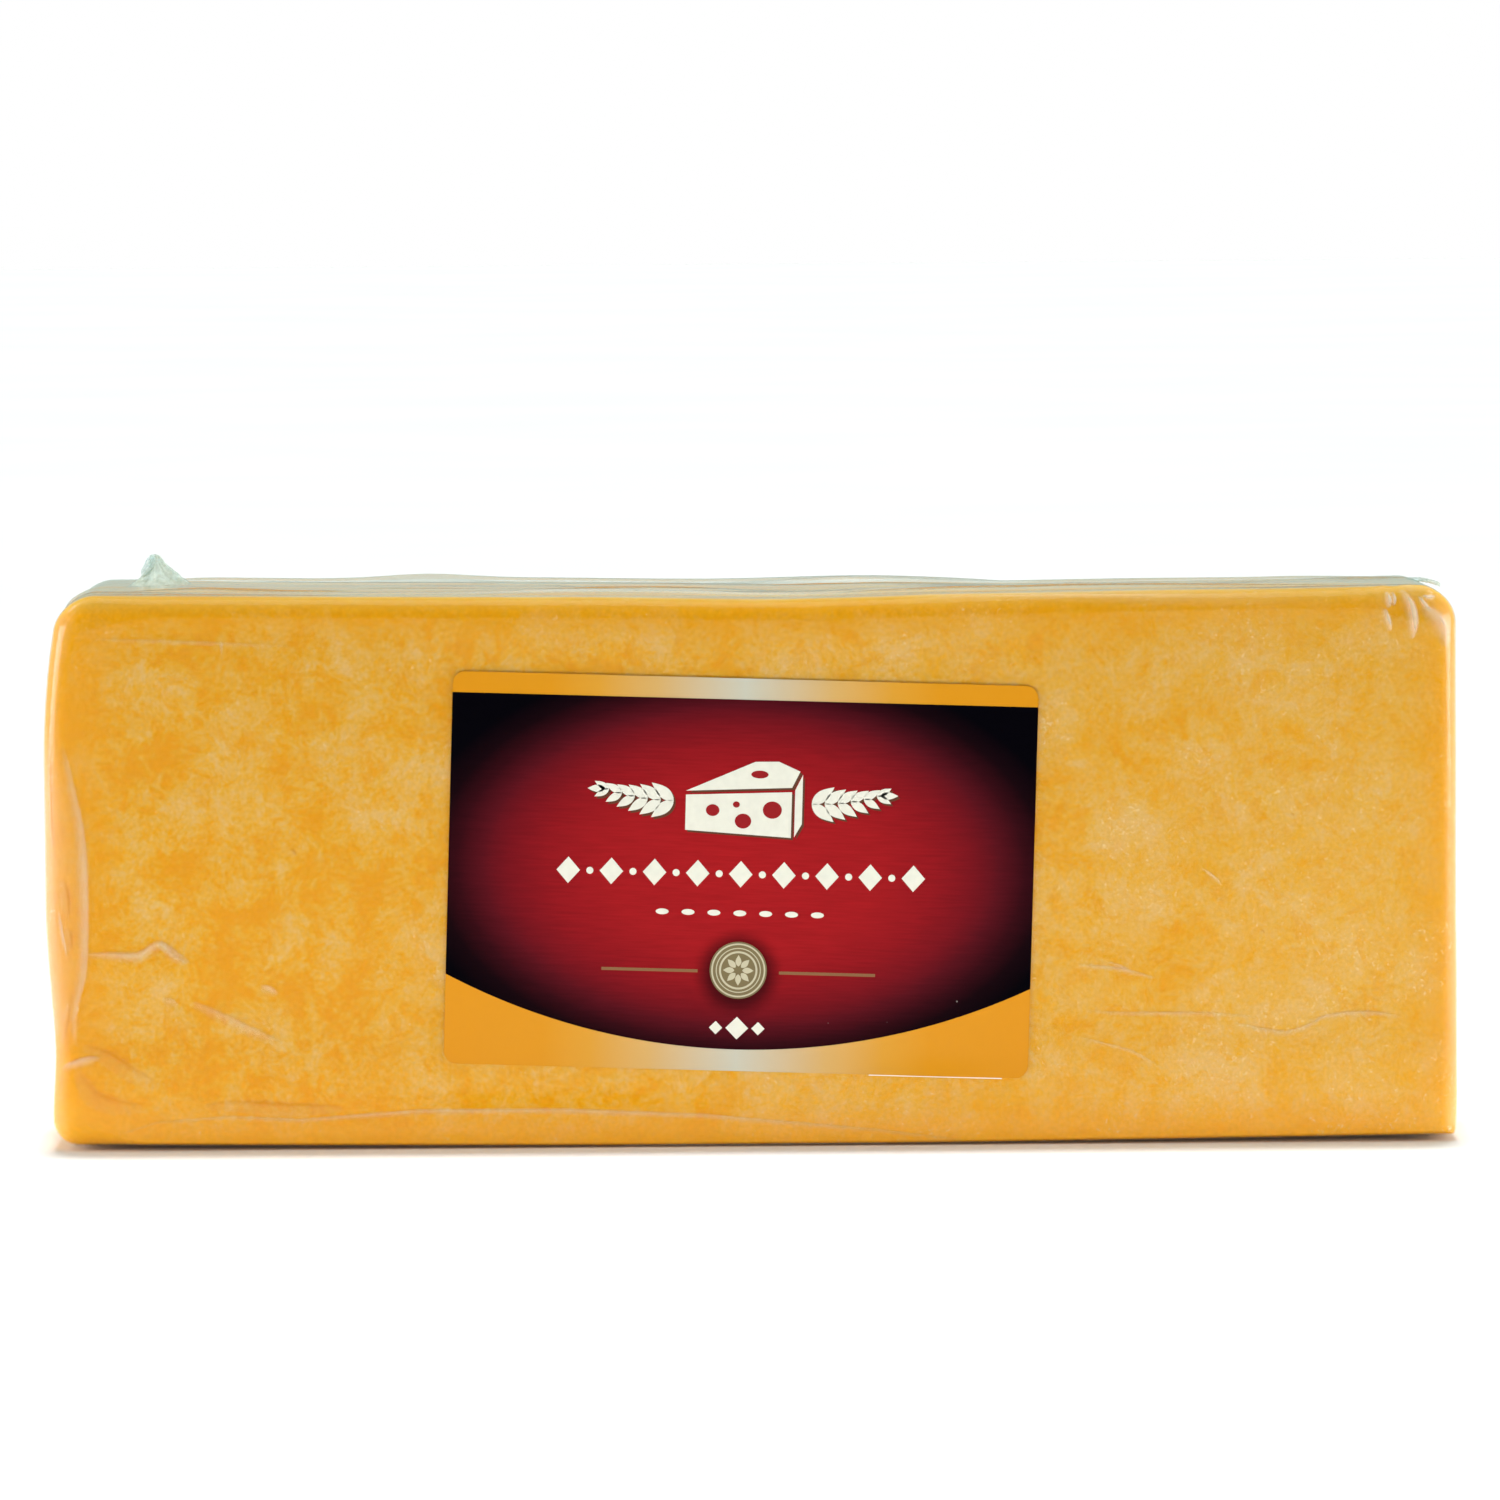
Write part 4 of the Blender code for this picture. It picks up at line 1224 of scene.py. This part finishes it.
def build_label():
    cream = ink("cream_ink", "#E9E8DA")
    brown = ink("brown_ink", "#5E3420")
    red = ink("emblem_red_ink", "#97191E", level=0.12)
    gold = ink("gold_ink", "#8A6038", roughness=0.35, level=0.3)
    bronze = ink("medal_bronze_ink", "#7A6B46", roughness=0.35, level=0.3)
    pale = ink("medal_pale_ink", "#C9C2A4")
    wedge, holes = wedge_emblem()
    sprays = leaf_sprays()
    v = MEDAL_PLACE
    turns = [k * math.pi / 4 for k in range(8)]
    petals = [leaf(math.cos(turn), v + math.sin(turn), 2.9, 1.5, turn) for turn in turns]
    low, high = RULE_PLACE - RULE_WIDTH / 2, RULE_PLACE + RULE_WIDTH / 2
    rules = [
        [(start, low), (end, low), (end, high), (start, high)]
        for start, end in ((-RULE_SPAN[1], -RULE_SPAN[0]), RULE_SPAN)
    ]
    pieces = (
        label_paper(amber_coated_paper()),
        label_panel(red_panel_ink()),
        printed("emblem_shadow", moved(wedge + sprays, 0.55, -0.55), SHADOW_INK, brown),
        printed("emblem", wedge + sprays, PALE_INK, cream),
        printed("emblem_holes", holes, DETAIL_INK, red),
        printed("ornament_rows", lozenge_rows(), PALE_INK, cream),
        printed("rules", rules, PALE_INK, gold),
        # Painted glint along the lifted lower edge
        printed("painted_glint_edge", [lifted_edge_glint()], PALE_INK, ink("painted_glint_ink", "#FBFAF5")),
        printed("medal", [circle(0, v, MEDAL_RADIUS)], PALE_INK, bronze),
        printed("medal_relief", petals, DETAIL_INK, pale, MEDAL_RINGS),
    )
    for piece in pieces:
        place_piece(piece, "label")


# Stage


FOCAL = 3.935 * 2500
CAMERA_PLACE = (0.0, -2.545, 0.272)
CAMERA_AIM = (0.0, -0.045, 0.1016)
CAMERA_ROLL = math.radians(-0.45)
FRAME_WIDTH = 1500
SENSOR = 36.0
FLOOR_REACH = 12.0
OVERHEAD = 2.55
OVERHEAD_SPREAD = math.radians(8)
OVERHEAD_TILT = math.radians(7)


def aimed(made, place, aim):
    """Puts a camera or a light at a place, and points it at another."""
    made.location = place
    way = (Vector(aim) - Vector(place)).normalized()
    made.rotation_euler = way.to_track_quat("-Z", "Y").to_euler()


def camera():
    made = in_scene("camera", bpy.data.cameras.new("camera"))
    aimed(made, CAMERA_PLACE, CAMERA_AIM)
    made.rotation_euler.rotate_axis("Z", CAMERA_ROLL)
    made.data.sensor_width = SENSOR
    made.data.lens = FOCAL * SENSOR / FRAME_WIDTH
    made.data.clip_start = 0.01
    bpy.context.scene.camera = made


def softbox(name, place, aim, size, watts, colour="#FFFFFF", unseen=()):
    """Soft box of a size in metres. unseen names the kinds of ray that miss it."""
    light = bpy.data.lights.new(name, "AREA")
    light.shape = "RECTANGLE"
    light.size, light.size_y = size
    light.energy = watts
    light.color = linear(colour)[:3]
    made = in_scene(name, light)
    aimed(made, place, aim)
    for kind in unseen:
        setattr(made, "visible_" + kind, False)


def studio():
    """White floor, a pale room that is darker in front of the block, and soft boxes round it. The one at
    its foot lifts the lowest centimetre, and the tall and overhead ones are there for the film to mirror."""
    material, node, place = new_material("studio_floor")
    cloud = node("TexNoise", {"Vector": place, "Scale": 1 / 0.3, "Detail": 2.0})
    tone = node("ValToRGB", {0: cloud}, stops=((0.3, "#F4F4F4"), (0.7, "#F7F7F7")))
    shader = node("BsdfDiffuse", {"Color": tone})
    node("OutputMaterial", {"Surface": shader})
    data = bpy.data.meshes.new("floor")
    corners = ((-1, -1), (1, -1), (1, 1), (-1, 1))
    data.from_pydata([(x * FLOOR_REACH, y * FLOOR_REACH, 0) for x, y in corners], [], [(0, 1, 2, 3)])
    data.materials.append(material)
    in_scene("floor", data)

    world = bpy.data.worlds.new("studio")
    bpy.context.scene.world = world
    world.use_nodes = True
    world.node_tree.nodes.clear()
    node = partial(add_node, world.node_tree)
    way = node("TexCoord").outputs["Generated"]
    behind = node("SeparateXYZ", {0: way}).outputs["Y"]
    share = node("MapRange", {"Value": behind, 1: -0.7, 2: 0.5})
    room = node("ValToRGB", {0: share}, stops=((0.0, "#383838"), (1.0, "#B6C6BC")))
    seen = node("LightPath").outputs["Is Camera Ray"]
    colour = blend(node, seen, room, (1.0, 1.0, 1.0, 1.0))
    shader = node("Background", {"Color": colour, "Strength": 1.0})
    node("OutputWorld", {"Surface": shader})

    sun = bpy.data.lights.new("overhead", "SUN")
    sun.energy = OVERHEAD
    sun.angle = OVERHEAD_SPREAD
    made = in_scene("overhead", sun)
    made.rotation_euler = (-OVERHEAD_TILT, 0, 0)
    made.visible_glossy = False
    for side, name in ((-1, "left"), (1, "right")):
        softbox(name + "_box", (1.3 * side, -0.35, 0.30), (0, 0, 0.07), (0.6, 0.6), 8.3)
        softbox(
            name + "_tall_box", (1.25 * side, -0.5, 0.75), (0, 0, 0.1), (0.2, 1.1), 0.8, unseen=("diffuse",)
        )
        softbox(name + "_upper_box", (1.1 * side, 0.1, 1.2), (0, 0, 0.1), (0.3, 0.3), 1.8)
    softbox("front_box", (0, -2.4, 0.35), (0, 0, 0.07), (2.6, 0.7), 4.0, unseen=("glossy",))
    softbox("foot_box", (0, -0.18, 0.015), (0, 0, 0.01), (1.2, 0.04), 0.27, unseen=("glossy", "camera"))
    softbox("overhead_box", (0, 0.1, 1.5), (0, 0, 0), (2.6, 0.9), 15.5, "#DDEEEF", ("diffuse",))


def main():
    bpy.context.scene.view_settings.view_transform = "Standard"
    camera()
    build_pack()
    build_label()
    studio()


main()
